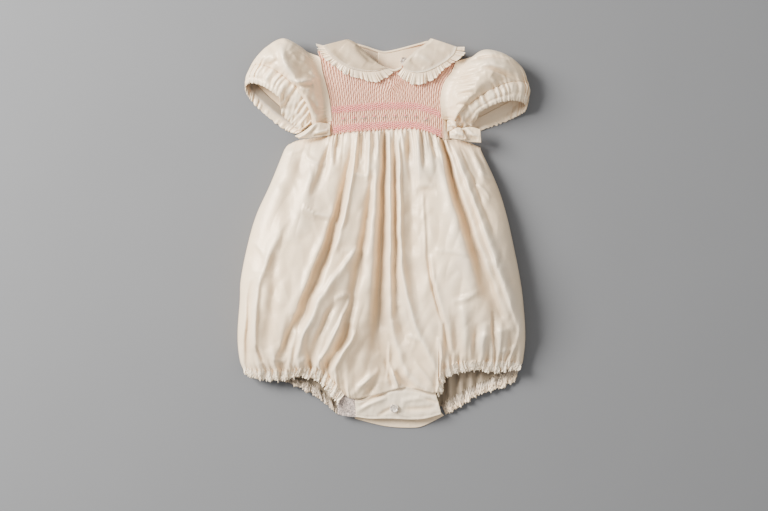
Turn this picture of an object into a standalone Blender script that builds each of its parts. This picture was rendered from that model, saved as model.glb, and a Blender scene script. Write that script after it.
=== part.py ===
"""Baby bubble romper of ivory satin, lying on its back with its front up.

The body is a bubble of two panels gathered below a smocked yoke, with puff sleeves, a frilled collar,
elastic leg frills, a lapped crotch band and waist sashes. Every piece is an open surface, worked out
from the tables below, with a wall. The tables are in millimetres: +X is the right as seen from above,
+Y runs to the neck and +Z up from the surface that the garment lies on.
"""

import math

import bmesh
import bpy
import numpy as np

MM = 0.001
WALL = 1.2  # the cloth with its turnings
FRILL_WALL = 1.0
GAP = 0.3  # between pieces at a seam
CENTRE = (0.77, -0.25)  # the middle of the garment's box in the tables

# Colours: linear RGB, roughness.
IVORY = (0.76, 0.70, 0.61, 0.38)
IVORY_DEEP = (0.68, 0.61, 0.52, 0.42)
PEARL = (0.86, 0.82, 0.76, 0.18)
TAPE = (0.42, 0.38, 0.38, 0.85)

# Side seams of the body: y, x of the left seam, x of the right seam.
SIDE_SEAMS = (
    (-152, -152, 150),
    (-139, -157, 153.5),
    (-112, -159.5, 156),
    (-73, -157, 153.5),
    (-51, -156, 150.5),
    (-13, -148.5, 143),
    (20, -139, 135.5),
    (53, -124, 125),
    (92, -108, 107),
)
SEAM_HEIGHT = 8.0  # where the two panels meet
SEAM_LIFT = 1.2  # each panel's edge from the middle of the seam

# Waist edge of the front body, from left to right: x, y.
FRONT_WAIST = (
    (-108, 92),
    (-91, 101),
    (-57, 106),
    (-17, 115.2),
    (13, 116.7),
    (49, 112.8),
    (66, 103.6),
    (90, 101),
    (107, 94),
)
# Hem seam of the front body: left leg, crotch, right leg.
FRONT_HEM = (
    (-152, -149),
    (-130, -151.5),
    (-105, -151),
    (-72, -150),
    (-58, -159),
    (-46, -173),
    (-33, -181),
    (-9, -177),
    (23, -169),
    (45, -173),
    (57, -174),
    (60, -158),
    (69, -146),
    (95, -142),
    (125, -141),
    (150, -143),
)
BACK_WAIST = ((-108, 92), (-91, 101), (-57, 106), (66, 104), (90, 101), (107, 94))
BACK_HEM = (
    (-152, -148.5),
    (-130, -150),
    (-104, -153),
    (-78, -167),
    (-52, -187),
    (-31, -193),
    (0, -197),
    (30, -199.5),
    (60, -191),
    (84, -176),
    (112, -163),
    (135, -152),
    (150, -142.5),
)

# Height of the front body: share of the way up it, height along the middle, height along the two legs.
FRONT_HEIGHTS = (
    (0, 12.5, 12.5),
    (0.04, 13, 19),
    (0.12, 16, 28),
    (0.25, 21, 34),
    (0.42, 25, 34.5),
    (0.6, 27, 32),
    (0.8, 25, 26.5),
    (0.93, 18.5, 19.5),
    (1, 14.5, 14.5),
)
LEG_CENTRES = (-78, 92)  # x of each leg's highest line
MIDDLE_X = 9
SIDE_ROUND = 38  # how far from a side seam the front reaches its height
BACK_ROUND = 15
WAIST_ROUND = 24  # the same from the waist edge, beside the bodice
BODICE_HALF = 62  # beyond this from the middle line the waist edge is a plain edge
WAIST_FADE = 10

# Largest folds of the front body: x and y of the upper and the lower end, bow to the right, half width
# and height.
FRONT_FOLDS = (
    (3, 102, -6, -88, 0, 6, -8),
    (8, 104, 8, 0, 1, 5, 4),
    (21, 104, 34, -100, -6, 7, -6),
    (18, 96, 66, -140, -8, 7, 5),
    (42, 92, 68, -120, -4, 8, 4),
    (69, 92, 128, -86, 4, 10, -7),
    (82, 80, 146, -98, 4, 10, 3),
    (-42, 54, -101, -114, 4, 8, -7),
    (-20, 12, -42, -114, 3, 7, -6),
    (-34, -20, -90, -130, 4, 7, 5),
    (-38, -62, -58, -114, 0, 7, 4),
    (-62, 72, -118, -60, 5, 9, 4),
    (4, -70, 6, -150, 0, 17, -6),
    (-12, 100, -22, 20, 0, 6, 3.5),
)

# Yoke: left edge and right edge, from waist to shoulder: y, x of the left edge, x of the right edge.
YOKE_SIDES = (
    (107, -56.5, 66),
    (125, -57.5, 65.5),
    (148, -60, 64),
    (165, -64, 68),
    (178, -67.5, 77),
    (200, -71, 84),
)
YOKE_WAIST = ((-56.5, 108.5), (-17, 116.2), (13, 117.7), (37, 116.8), (49, 114.2), (66, 104.8))
NECKLINE = (
    (-71, 200),
    (-37, 209),
    (-20, 198),
    (-5, 185),
    (13, 177.5),
    (27, 190),
    (40, 201),
    (53, 208),
    (84, 200),
)
YOKE_HEIGHT = 14.5
STRIP_WAIST = 107.6
STRIP_GAP = 1.2  # clears the yoke's rounded pleats
YOKE_EDGE = 2.0  # how much lower the yoke is at the armholes
PLEATS = 40
PLEAT_HEIGHT = 0.45

BACK_NECKLINE = (
    (-71, 200),
    (-37, 210.5),
    (-20, 206),
    (-5, 201),
    (2, 200),
    (14, 202),
    (35, 207.5),
    (53, 212),
    (84, 200),
)
BACK_SIDES = (
    (107, -61, 71),
    (125, -61.5, 70.5),
    (148, -61, 66),
    (165, -64.5, 69),
    (178, -68, 77),
    (200, -71, 84),
)
LAP = (-5, 19)  # x of the upper half's free edge and of the lower half's
LAP_FADE = 30  # how far beyond the lower half's edge the upper half comes down
BODICE_ROUND = 9

# Sleeves, from armhole to gather line, and cuffs, from there to the free edge. Each row is a ring
# through four points: x, y, z of its outer end, of its front and of its inner end, then x, y of its back.
SLEEVE_LEFT = (
    (-75, 192.5, 7, -65.2, 160, 12.5, -63.5, 121.5, 6, -66, 158),
    (-93, 206, 12, -77, 166, 28, -67, 116, 7, -80, 160),
    (-110, 212.5, 15, -89, 170, 38, -71, 113, 8, -93, 160),
    (-127, 203.5, 15, -97, 172, 40.5, -75, 115, 9, -105, 154),
    (-140, 190.5, 14, -102, 171, 37, -79, 121, 10, -113, 148),
    (-146, 180.5, 12, -105, 168, 31, -81, 128, 11, -118, 144),
)
CUFF_LEFT = (
    (-150, 171, 11, -112, 160, 31, -83, 125, 10, -120, 136),
    (-150.5, 161, 10, -116, 150, 28.5, -86, 120, 8, -125, 127),
)
SLEEVE_RIGHT = (
    (93, 189, 7, 68.4, 152, 12.5, 73.5, 124.5, 6, 70, 154),
    (108, 200, 12, 84, 162, 27, 74.5, 120, 7, 88, 158),
    (124, 199, 15, 97, 165, 37, 75.5, 118, 8, 100, 156),
    (141, 191, 15, 107, 164, 39, 76.5, 118, 9, 110, 152),
    (154, 178, 14, 114, 161, 35, 77.5, 120.5, 10, 118, 144),
    (159.5, 162, 12, 117, 156, 29.5, 78.5, 125, 11, 121, 136),
)
CUFF_RIGHT = (
    (161, 155, 11, 120, 149, 29.5, 82, 120.5, 10, 123, 128),
    (160.5, 148, 10, 122, 140.5, 27, 88, 116, 8, 126, 120),
)
BELOW = -1.5  # a ring's lowest point before it is flattened on the surface
RIPPLES = 12  # gathers round a sleeve, which run on through its cuff
RIPPLE = 1.3
CUFF_GAP = 0.12  # where a cuff starts, as a share of the way to its second ring

# Collar halves: neck edge, seam of the ruffle and the ruffle's free edge, from shoulder to front.
COLLAR_LEFT = (
    ((-37, 212), (-31, 209), (-20, 199), (-5, 186), (1, 181)),
    ((-61, 203), (-52, 190), (-35, 180), (-17, 178.5), (-2, 178)),
    ((-72, 208), (-69, 198), (-54, 185), (-41, 175), (-26, 169.5), (-11, 165.5), (4, 171), (11, 176)),
)
COLLAR_RIGHT = (
    ((52, 213), (47, 208), (37, 201), (27.5, 192.5), (21, 185)),
    ((80, 203.5), (76, 195), (63, 185), (46.5, 177), (32, 176), (22, 181)),
    ((89, 204), (88.5, 196), (76, 186), (64, 178), (57, 169.5), (39, 162.5), (27, 165), (16, 173.5)),
)
COLLAR_HEIGHT = 19.0
RUFFLE_HEIGHT = 18.2
RUFFLE_DROP = 1.0
RUFFLE_PLEATS = 14
RUFFLE_PLEAT = 0.7
BINDING = ((-2, 184), (5, 181), (13, 179.6), (20, 182.5))
BINDING_WIDTH = 3.2

# Leg frills: free edges, from side seam to crotch. The seams are those of the hems.
FRILL_LEFT_FRONT = (
    (-151, -154.5),
    (-142, -158),
    (-127, -161),
    (-105, -160),
    (-96, -157),
    (-83, -158.5),
    (-68, -161),
    (-62, -168),
    (-50, -184),
    (-38, -190),
)
FRILL_RIGHT_FRONT = (
    (62, -182),
    (66, -166),
    (72, -156),
    (87, -152.5),
    (105, -151.5),
    (119, -152),
    (133, -151),
    (149, -149),
)
FRILL_LEFT_BACK = (
    (-150, -156),
    (-125, -159),
    (-104, -163),
    (-87, -172),
    (-76, -177),
    (-63, -186),
    (-49, -199),
)
FRILL_RIGHT_BACK = ((70, -199), (89, -187), (100, -179.5), (111, -174.5), (129, -170), (145, -162))
HEM_HEIGHT = 12.5
CROTCH_EDGE = 8.0
HEM_STEP = 0.01  # share of the hem over which its direction is read
FRILL_GAP = 0.8  # between the body's hem and a frill, which curve differently
FRILL_TIP = 8.0
FRILL_WAVES = 7
FRILL_WAVE = 1.1

# Crotch bands: seam at the top and free edge at the bottom, from left to right.
CROTCH_FRONT = (
    ((-33, -183), (-24, -183.5), (-9, -179), (10, -172.5), (23, -170.8), (45, -174.5), (58, -176)),
    ((-32, -201), (-15, -203), (8, -203), (30, -204), (46, -203), (64, -198)),
)
CROTCH_BACK = (
    ((-30, -195), (0, -198.5), (30, -201.5), (60, -193)),
    ((-31, -203.5), (-6, -210), (8, -212.5), (28, -213.5), (41, -212.5), (54, -207), (67, -200)),
)
CROTCH_TAPE = (
    ((-48.5, -186), (-40, -187.5), (-34, -187)),
    ((-48.5, -198.5), (-40, -200.5), (-34, -201.5)),
)

# Sashes: upper and lower edge of each, from the bodice outward.
SASH_LEFT = (
    ((-58, 120), (-73, 120.3), (-87, 111), (-96, 106.5)),
    ((-58, 107), (-70, 106), (-81, 104), (-92, 103.5)),
)
SASH_RIGHT_BAND = (
    ((72.5, 112), (85, 114.5), (96, 116), (106, 113.5)),
    ((73, 104), (84, 102), (94, 100), (107, 99)),
)
SASH_RIGHT_LOOP = (
    ((70, 123), (74, 124), (79, 122), (81.5, 117)),
    ((70, 111), (73, 112), (76, 113), (79, 115)),
)
SASH_RIGHT_END = (
    ((73, 111), (80, 115), (85, 114.5), (88, 109)),
    ((74, 104), (80, 102.5), (86, 102), (91, 102.5)),
)
SASH_HEIGHT = 19.4
SASH_WALL = 2.0

BUTTON_RADIUS = 4.7
BUTTON_HEIGHT = 2.2
NECK_BUTTON_RADIUS = 4.2
CROTCH_BUTTON = (12.3, -191.4, 10.7)  # x, y and z of the middle of its underside
NECK_BUTTON = (23, 189.5, 3.0)


def remove_everything():
    for obj in list(bpy.data.objects):
        bpy.data.objects.remove(obj)


def knots(rows):
    """The rows as an array of points and each one's share of the length along them."""
    points = np.array(rows, float)
    steps = np.linalg.norm(np.diff(points, axis=0), axis=1)
    along = np.concatenate([[0], np.cumsum(steps)])
    return points, along / along[-1]


def smooth_through(points, at, t):
    """Cubic pieces through the points, whose slope at each is that between its neighbours."""
    t = min(max(t, 0.0), 1.0)
    i = int(min(np.searchsorted(at, t, side="right") - 1, len(at) - 2))
    width = at[i + 1] - at[i]
    before, after = max(i - 1, 0), min(i + 2, len(at) - 1)
    slope_a = (points[i + 1] - points[before]) / (at[i + 1] - at[before])
    slope_b = (points[after] - points[i]) / (at[after] - at[i])
    s = (t - at[i]) / width
    a, b = points[i], points[i + 1]
    blend = s * s * (3 - 2 * s)
    return a + (b - a) * blend + width * (slope_a * s * (1 - s) ** 2 - slope_b * s * s * (1 - s))


def along_curve(rows, t):
    """The point of the curve through the rows at share t of its length."""
    points, at = knots(rows)
    return smooth_through(points, at, t)


def column(rows, value, which):
    """Column number which of a table, read smoothly at a value of its first column."""
    table = np.array(rows, float)
    at = (table[:, 0] - table[0, 0]) / (table[-1, 0] - table[0, 0])
    t = (value - table[0, 0]) / (table[-1, 0] - table[0, 0])
    return float(smooth_through(table[:, which], at, t))


def mix(a, b, t):
    return a + (b - a) * t


def ease(t):
    t = min(max(t, 0.0), 1.0)
    return t * t * (3 - 2 * t)


def rise(distance, reach):
    """A quarter of a circle: 0 at the edge, 1 at reach."""
    left = 1 - min(max(distance / reach, 0.0), 1.0)
    return math.sqrt(1 - left * left)


def fold_height(folds, x, y):
    """Sum of the folds at a point: a bell across each line, fading towards its ends."""
    total = 0.0
    for x_a, y_a, x_b, y_b, bow, half_width, height in folds:
        run_x, run_y = x_b - x_a, y_b - y_a
        length = math.hypot(run_x, run_y)
        t = ((x - x_a) * run_x + (y - y_a) * run_y) / length**2
        if not 0 < t < 1:
            continue
        across = ((y - y_a) * run_x - (x - x_a) * run_y) / length - bow * 4 * t * (1 - t)
        total += height * math.exp(-((across / half_width) ** 2)) * math.sin(math.pi * t) ** 0.6
    return total


def finish(name, colour):
    """A Principled material of the piece's own."""
    material = bpy.data.materials.new(name + "_finish")
    material.use_nodes = True
    shader = material.node_tree.nodes["Principled BSDF"]
    shader.inputs["Base Color"].default_value = (*colour[:3], 1)
    shader.inputs["Roughness"].default_value = colour[3]
    shader.inputs["Metallic"].default_value = 0
    return material


def add_object(name, shape, colour, collection):
    mesh = bpy.data.meshes.new(name)
    shape.to_mesh(mesh)
    shape.free()
    mesh.shade_smooth()
    mesh.materials.append(finish(name, colour))
    obj = bpy.data.objects.new(name, mesh)
    collection.objects.link(obj)
    return obj


def cloth(name, columns, rows, place, collection, colour=IVORY, wall=WALL, ring=False, underside=False):
    """A sheet of columns by rows, each point set by place(u, v), with its wall inside it.

    u runs from left to right, or all round a ring, and v towards the neck. An underside faces down.
    """
    shape = bmesh.new()
    bmesh.ops.create_grid(shape, x_segments=columns, y_segments=rows, size=0.5)
    for vertex in shape.verts:
        x, y, z = place(vertex.co.x + 0.5, vertex.co.y + 0.5)
        vertex.co = ((x - CENTRE[0]) * MM, (y - CENTRE[1]) * MM, z * MM)
    if ring:
        bmesh.ops.remove_doubles(shape, verts=shape.verts, dist=0.01 * MM)
    if underside:
        bmesh.ops.reverse_faces(shape, faces=shape.faces)
    obj = add_object(name, shape, colour, collection)
    solid = obj.modifiers.new("Wall", "SOLIDIFY")
    solid.thickness = wall * MM
    solid.offset = -1
    return obj


def between(upper, lower, height):
    """A place function for a strip between two edges: v is 1 on the upper edge and 0 on the lower."""

    def place(u, v):
        x, y = mix(along_curve(lower, u), along_curve(upper, u), v)
        return x, y, height(u, v, x, y)

    return place


def body_point(u, v, waist, hem):
    """x and y on the body at u across and v up, with the side seams at u = 0 and 1, and the reach to them."""
    left = column(SIDE_SEAMS, mix(hem[0][1], waist[0][1], v), 1)
    right = column(SIDE_SEAMS, mix(hem[-1][1], waist[-1][1], v), 2)
    top, bottom = along_curve(waist, u), along_curve(hem, u)
    share_top = (top[0] - waist[0][0]) / (waist[-1][0] - waist[0][0])
    share_bottom = (bottom[0] - hem[0][0]) / (hem[-1][0] - hem[0][0])
    share = mix(share_bottom, share_top, v)
    x = mix(left, right, share)
    y = mix(bottom[1], top[1], v)
    return x, y, min(x - left, right - x), top[1] - y


def waist_opening(x):
    """0 where the waist edge is sewn to the bodice, 1 beside it."""
    return ease((abs(x - MIDDLE_X / 2) - BODICE_HALF) / WAIST_FADE + 0.5)


def front_level(x, v):
    middle, legs = column(FRONT_HEIGHTS, v, 1), column(FRONT_HEIGHTS, v, 2)
    leg = LEG_CENTRES[0] if x < MIDDLE_X else LEG_CENTRES[1]
    share = ease((x - MIDDLE_X) / (leg - MIDDLE_X))
    return mix(middle, legs, share)


def front_body_place(u, v):
    x, y, side, below_waist = body_point(u, v, FRONT_WAIST, FRONT_HEM)
    edge = SEAM_HEIGHT + SEAM_LIFT
    height = front_level(x, v) + fold_height(FRONT_FOLDS, x, y)
    shoulder = mix(1, rise(below_waist, WAIST_ROUND), waist_opening(x))
    return x, y, edge + (height - edge) * rise(side, SIDE_ROUND) * shoulder


def back_body_place(u, v):
    x, y, side, below_waist = body_point(u, v, BACK_WAIST, BACK_HEM)
    edge = SEAM_HEIGHT - SEAM_LIFT
    shoulder = waist_opening(x) * (1 - rise(below_waist, BACK_ROUND))
    return x, y, edge * max(1 - rise(side, BACK_ROUND), shoulder)


def make_body(collection):
    cloth("front_body", 42, 16, front_body_place, collection)
    cloth("back_body", 20, 12, back_body_place, collection, IVORY_DEEP, underside=True)


def bodice_point(u, v, sides, waist, neckline):
    bottom, top = along_curve(waist, u), along_curve(neckline, u)
    y = mix(bottom[1], top[1], v)
    side_y = mix(sides[0][0], sides[-1][0], v)
    left, right = column(sides, side_y, 1), column(sides, side_y, 2)
    share_top = (top[0] - neckline[0][0]) / (neckline[-1][0] - neckline[0][0])
    return mix(left, right, mix(u, share_top, v)), y


def yoke_place(u, v):
    x, y = bodice_point(u, v, YOKE_SIDES, YOKE_WAIST, NECKLINE)
    pleat = PLEAT_HEIGHT * math.cos(2 * math.pi * PLEATS * u)
    edge = YOKE_EDGE * abs(2 * u - 1) ** 6
    return x, y, YOKE_HEIGHT + pleat - edge


def back_bodice_place(left_share, right_share, lift):
    def place(u, v):
        across = mix(left_share, right_share, u)
        x, y = bodice_point(across, v, BACK_SIDES, ((-61, 107.8), (71, 105.8)), BACK_NECKLINE)
        reach = min(across, 1 - across) * (BACK_SIDES[0][2] - BACK_SIDES[0][1])
        lap = lift * (1 - ease((x - LAP[1]) / LAP_FADE))
        return x, y, lap + (SEAM_HEIGHT - SEAM_LIFT) * (1 - rise(reach, BODICE_ROUND))

    return place


def strip_place(edge, y_top, outer_waist, outer_top):
    """A side strip: from the yoke's edge, rounding down to the side seam."""
    sign = -1 if edge == 1 else 1

    def place(u, v):
        y = mix(STRIP_WAIST, y_top, v)
        inner = column(YOKE_SIDES, y, edge) + sign * STRIP_GAP
        turn = (u if edge == 2 else 1 - u) * math.pi / 2
        x = mix(inner, mix(outer_waist, outer_top, v), math.sin(turn))
        z = mix(SEAM_HEIGHT + SEAM_LIFT, YOKE_HEIGHT - YOKE_EDGE, math.cos(turn))
        return x, y, z

    return place


def make_bodice(collection):
    cloth("front_yoke", 2 * PLEATS, 3, yoke_place, collection)
    cloth("side_strip_left", 3, 3, strip_place(1, 134, -61.8, -61), collection)
    cloth("side_strip_right", 3, 3, strip_place(2, 127, 72.5, 68.2), collection)
    width = BACK_SIDES[0][2] - BACK_SIDES[0][1]
    lower_end = (LAP[1] - BACK_SIDES[0][1]) / width
    upper_end = (LAP[0] - BACK_SIDES[0][1]) / width
    lift = WALL + GAP
    lower, upper = back_bodice_place(0, lower_end, 0), back_bodice_place(upper_end, 1, lift)
    cloth("back_bodice_left", 9, 5, lower, collection, IVORY_DEEP, underside=True)
    cloth("back_bodice_right", 9, 5, upper, collection, IVORY_DEEP, underside=True)


def ring_place(rows, ripple_from, ripple_to):
    """Rings through four points each: outer end, front, inner end and back."""
    table = np.array(rows, float)
    at = np.linspace(0, 1, len(rows))

    def place(u, v):
        row = smooth_through(table, at, 1 - v)
        outer, front, inner, back = row[:3], row[3:6], row[6:9], np.array((*row[9:], BELOW))
        turn = 2 * math.pi * u
        centre = (outer + front + inner + back) / 4
        across, up = (outer - inner) / 2, (front - back) / 2
        pinch = (outer - front + inner - back) / 4
        point = centre + across * math.cos(turn) + up * math.sin(turn) + pinch * math.cos(2 * turn)
        ripple = mix(ripple_from, ripple_to, 1 - v)
        point[2] += ripple * math.cos(RIPPLES * turn) * max(math.sin(turn), 0)
        point[2] = max(point[2], 0)
        return point

    return place


def make_sleeves(collection):
    for side, sleeve, cuff in (("left", SLEEVE_LEFT, CUFF_LEFT), ("right", SLEEVE_RIGHT, CUFF_RIGHT)):
        facing = side == "right"
        body = ring_place(sleeve, 0, RIPPLE)
        start = mix(np.array(sleeve[-1]), np.array(cuff[0]), CUFF_GAP)
        frill = ring_place((start, *cuff), RIPPLE, RIPPLE)
        cloth(f"sleeve_{side}", 22, 6, body, collection, ring=True, underside=facing)
        cloth(f"cuff_{side}", 22, 2, frill, collection, wall=FRILL_WALL, ring=True, underside=facing)


def collar_height(u, v, x, y):
    return COLLAR_HEIGHT + 1.2 * math.sin(math.pi * v)


def ruffle_height(u, v, x, y):
    pleat = RUFFLE_PLEAT * math.cos(2 * math.pi * RUFFLE_PLEATS * u)
    return RUFFLE_HEIGHT - (1 - v) * (RUFFLE_DROP + pleat)


def apart(rows, distance):
    """The curve moved sideways by a distance, to its right as it runs."""
    points = np.array(rows, float)
    slopes = np.gradient(points, axis=0)
    normals = np.stack([slopes[:, 1], -slopes[:, 0]], 1) / np.linalg.norm(slopes, axis=1)[:, None]
    return points + normals * distance


def make_collar(collection):
    for side, edges in (("left", COLLAR_LEFT), ("right", COLLAR_RIGHT)):
        neck, seam, edge = edges
        if side == "right":
            neck, seam, edge = neck[::-1], seam[::-1], edge[::-1]
        cloth(f"collar_{side}", 12, 3, between(neck, seam, collar_height), collection)
        below = apart(seam, GAP)
        cloth(
            f"ruffle_{side}", 2 * RUFFLE_PLEATS, 1, between(below, edge, ruffle_height),
            collection, wall=FRILL_WALL,
        )
    lower = apart(BINDING, BINDING_WIDTH)
    cloth("neck_binding", 8, 1, between(BINDING, lower, lambda u, v, x, y: YOKE_HEIGHT + 2.2), collection)


def hem_share(hem, x):
    """How far along a hem, from 0 to 1, it reaches x."""
    shares = np.linspace(0, 1, 400)
    return float(np.interp(x, [along_curve(hem, t)[0] for t in shares], shares))


def outward(hem, t):
    """The direction square to the hem, away from the body."""
    step = along_curve(hem, min(t + HEM_STEP, 1)) - along_curve(hem, max(t - HEM_STEP, 0))
    return np.array((step[1], -step[0], 0)) / math.hypot(*step)


def frill_place(body_place, hem, x_from, x_to, edge, tip, wave):
    """A frill from the hem between two values of x to its free edge, a seam's gap below the body."""
    start, end = hem_share(hem, x_from), hem_share(hem, x_to)

    def place(u, v):
        at = mix(start, end, u)
        seam = np.array(body_place(at, 0)) + outward(hem, at) * FRILL_GAP
        free = np.array((*along_curve(edge, u), tip))
        point = mix(free, seam, v)
        point[2] += wave * math.cos(2 * math.pi * FRILL_WAVES * u) * (1 - v)
        return point

    return place


def make_leg_frills(collection):
    for name, x_from, x_to, edge in (
        ("leg_frill_left_front", -151, -35, FRILL_LEFT_FRONT),
        ("leg_frill_right_front", 58.5, 149, FRILL_RIGHT_FRONT),
    ):
        place = frill_place(front_body_place, FRONT_HEM, x_from, x_to, edge, FRILL_TIP, FRILL_WAVE)
        cloth(name, 20, 1, place, collection, wall=FRILL_WALL)
    for name, x_from, x_to, edge in (
        ("leg_frill_left_back", -151, -50, FRILL_LEFT_BACK),
        ("leg_frill_right_back", 62, 149, FRILL_RIGHT_BACK),
    ):
        place = frill_place(back_body_place, BACK_HEM, x_from, x_to, edge, 0, 0)
        cloth(name, 16, 1, place, collection, wall=FRILL_WALL, underside=True)


def make_crotch(collection):
    def sloping(u, v, x, y):
        return mix(CROTCH_EDGE, HEM_HEIGHT, v)

    def flat(u, v, x, y):
        return 0

    cloth("crotch_band_front", 16, 2, between(*CROTCH_FRONT, sloping), collection)
    cloth("crotch_band_back", 14, 2, between(*CROTCH_BACK, flat), collection, IVORY_DEEP, underside=True)
    cloth("crotch_tape", 4, 2, between(*CROTCH_TAPE, lambda u, v, x, y: 5.0), collection, TAPE)


def make_sashes(collection):
    def arched(height, arch):
        return lambda u, v, x, y: height + arch * math.sin(math.pi * v)

    for name, edges, height, arch in (
        ("sash_left", SASH_LEFT, SASH_HEIGHT, 1.5),
        ("sash_right_band", SASH_RIGHT_BAND, SASH_HEIGHT, 1),
        ("sash_right_loop", SASH_RIGHT_LOOP, SASH_HEIGHT + 1, 2),
        ("sash_right_end", SASH_RIGHT_END, SASH_HEIGHT + 3.5, 1.5),
    ):
        upper, lower = edges
        if name == "sash_left":
            upper, lower = upper[::-1], lower[::-1]
        cloth(name, 6, 3, between(upper, lower, arched(height, arch)), collection, wall=SASH_WALL)


def make_button(name, foot, radius, collection):
    """A round button with a rounded rim."""
    shape = bmesh.new()
    bmesh.ops.create_cone(
        shape, cap_ends=True, segments=20, radius1=radius * MM, radius2=radius * MM, depth=BUTTON_HEIGHT * MM
    )
    obj = add_object(name, shape, PEARL, collection)
    height = (foot[2] + BUTTON_HEIGHT / 2) * MM
    obj.location = ((foot[0] - CENTRE[0]) * MM, (foot[1] - CENTRE[1]) * MM, height)
    rim = obj.modifiers.new("Rim", "BEVEL")
    rim.width = 0.6 * MM
    rim.segments = 2


def main():
    remove_everything()
    collection = bpy.data.collections.new("baby_romper")
    bpy.context.scene.collection.children.link(collection)
    make_body(collection)
    make_bodice(collection)
    make_sleeves(collection)
    make_collar(collection)
    make_leg_frills(collection)
    make_crotch(collection)
    make_sashes(collection)
    make_button("crotch_button", CROTCH_BUTTON, BUTTON_RADIUS, collection)
    make_button("neck_button", NECK_BUTTON, NECK_BUTTON_RADIUS, collection)


if __name__ == "__main__":
    main()
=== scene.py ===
"""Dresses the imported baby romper: slubbed ivory satin with a smocked yoke, a frilled collar and puff sleeves.

Each piece of cloth is a surface on two parameters: u runs from left to right, or round a tube, and v
towards the neck. The tables are in millimetres, as the garment lies on its back: +X is the right as seen
from above, +Y runs to the neck and +Z up from the surface. A thin wall inside each surface makes the cloth.
"""

import math

import bpy
import numpy as np
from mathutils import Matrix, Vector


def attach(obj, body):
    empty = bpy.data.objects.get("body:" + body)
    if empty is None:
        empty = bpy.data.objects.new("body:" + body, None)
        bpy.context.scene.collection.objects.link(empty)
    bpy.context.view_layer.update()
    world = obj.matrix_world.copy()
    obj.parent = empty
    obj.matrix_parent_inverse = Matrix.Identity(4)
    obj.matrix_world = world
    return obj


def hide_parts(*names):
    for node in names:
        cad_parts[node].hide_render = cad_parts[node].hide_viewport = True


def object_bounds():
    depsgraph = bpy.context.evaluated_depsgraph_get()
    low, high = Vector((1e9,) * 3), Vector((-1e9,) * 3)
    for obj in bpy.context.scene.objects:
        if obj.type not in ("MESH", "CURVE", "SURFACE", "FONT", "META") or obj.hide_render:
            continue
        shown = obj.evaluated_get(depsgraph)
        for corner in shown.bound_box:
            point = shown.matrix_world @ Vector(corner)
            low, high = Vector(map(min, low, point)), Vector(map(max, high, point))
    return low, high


bl_info = {
    "name": "Baby Romper Dressing",
    "version": (1, 0, 0),
    "blender": (4, 5, 0),
    "location": "3D View > Sidebar > Romper",
    "description": "Sews the cloth, smocking, frills and buttons of a baby romper round its packed solids",
    "category": "Object",
}

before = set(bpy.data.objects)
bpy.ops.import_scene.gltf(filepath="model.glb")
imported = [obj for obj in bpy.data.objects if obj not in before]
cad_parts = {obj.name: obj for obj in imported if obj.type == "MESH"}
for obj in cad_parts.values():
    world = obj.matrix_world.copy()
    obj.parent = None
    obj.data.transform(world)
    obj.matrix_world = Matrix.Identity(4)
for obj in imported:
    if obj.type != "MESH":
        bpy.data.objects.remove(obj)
CAD_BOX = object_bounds()

MM = 0.001
TURN = 2 * math.pi
LAID_WALL = 0.0009  # metres, of the doubled cloth of collar, back bodice and crotch bands
CENTRE = (0.77, -0.25)  # the middle of the garment's box in the tables

# Side seams of the body: y, x of the left seam, x of the right seam.
SIDE_SEAMS = (
    (-152, -152, 150),
    (-139, -157, 153.5),
    (-112, -159.5, 156),
    (-73, -157, 153.5),
    (-51, -156, 150.5),
    (-13, -148.5, 143),
    (20, -139, 135.5),
    (53, -124, 125),
    (92, -108, 107),
)
SEAM_HEIGHT = 8.0  # of the side seams
SEAM_LIFT = 0.2  # how far the front stands above them and the back below
# Edges of the body, from left to right: x and y.
FRONT_WAIST = (
    (-108, 92), (-104, 97), (-91, 102.5), (-57, 107.5), (-33, 111.2), (-10, 112.8), (13, 114.2),
    (32, 115), (49, 112), (66, 103.6), (90, 101), (107, 94),
)
FRONT_HEM = (
    (-152, -149), (-130, -151.5), (-105, -151), (-72, -150), (-58, -159), (-46, -173), (-33, -181),
    (-9, -177), (23, -169), (45, -173), (57, -174), (60, -158), (69, -146), (95, -142), (125, -141),
    (150, -143),
)
BACK_WAIST = ((-108, 92), (-91, 101), (-57, 106), (66, 104), (90, 101), (107, 94))
BACK_HEM = (
    (-152, -148.5), (-130, -150), (-104, -153), (-78, -167), (-52, -187), (-31, -193), (0, -197),
    (30, -199.5), (60, -191), (84, -176), (112, -163), (135, -152), (150, -142.5),
)
# Share of the way up the front, height along the middle, height along the two legs.
FRONT_HEIGHTS = (
    (0, 12.5, 15.5),
    (0.04, 13, 21),
    (0.12, 16, 28),
    (0.25, 21, 34),
    (0.42, 25, 34.5),
    (0.6, 27, 32),
    (0.8, 25, 26.5),
    (0.93, 18.5, 19.5),
    (1, 14.5, 14.5),
)
LEG_CENTRES = (-78, 92)  # x of the highest line of each leg
MIDDLE_X = 9
WAIST_MIDDLE = MIDDLE_X / 2
SIDE_ROUND = 38  # how far from the side seams the front is rounded down to them
BACK_ROUND = 15
WAIST_ROUND = 24
BODICE_HALF = 67  # half the width of the bodice at the waist
GATHERED_HALF = 58  # half the width of the waist that is gathered
WAIST_FADE = 10  # length over which one kind of waist gives way to another
CROTCH_MIDDLE = 13
CROTCH_HALF = 40  # half the width of the crotch, where the hem isn't gathered
CROTCH_FADE = 12
STEEP_HEM = (40, 80)  # x from and to where the front hem drops to the crotch
FRONT_RELIEF = 5.2  # height of a fold of the front that takes the whole painted ridge highlight
SLEEVE_RELIEF = 4.5
SHADE_FROM = -118  # y from which the back is painted with the shade inside the leg openings
SHADE_FADE = 22
HEM_PITCH = 5.2  # one small gather of the body along its hem
WAIST_PITCH = 4.4

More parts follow.
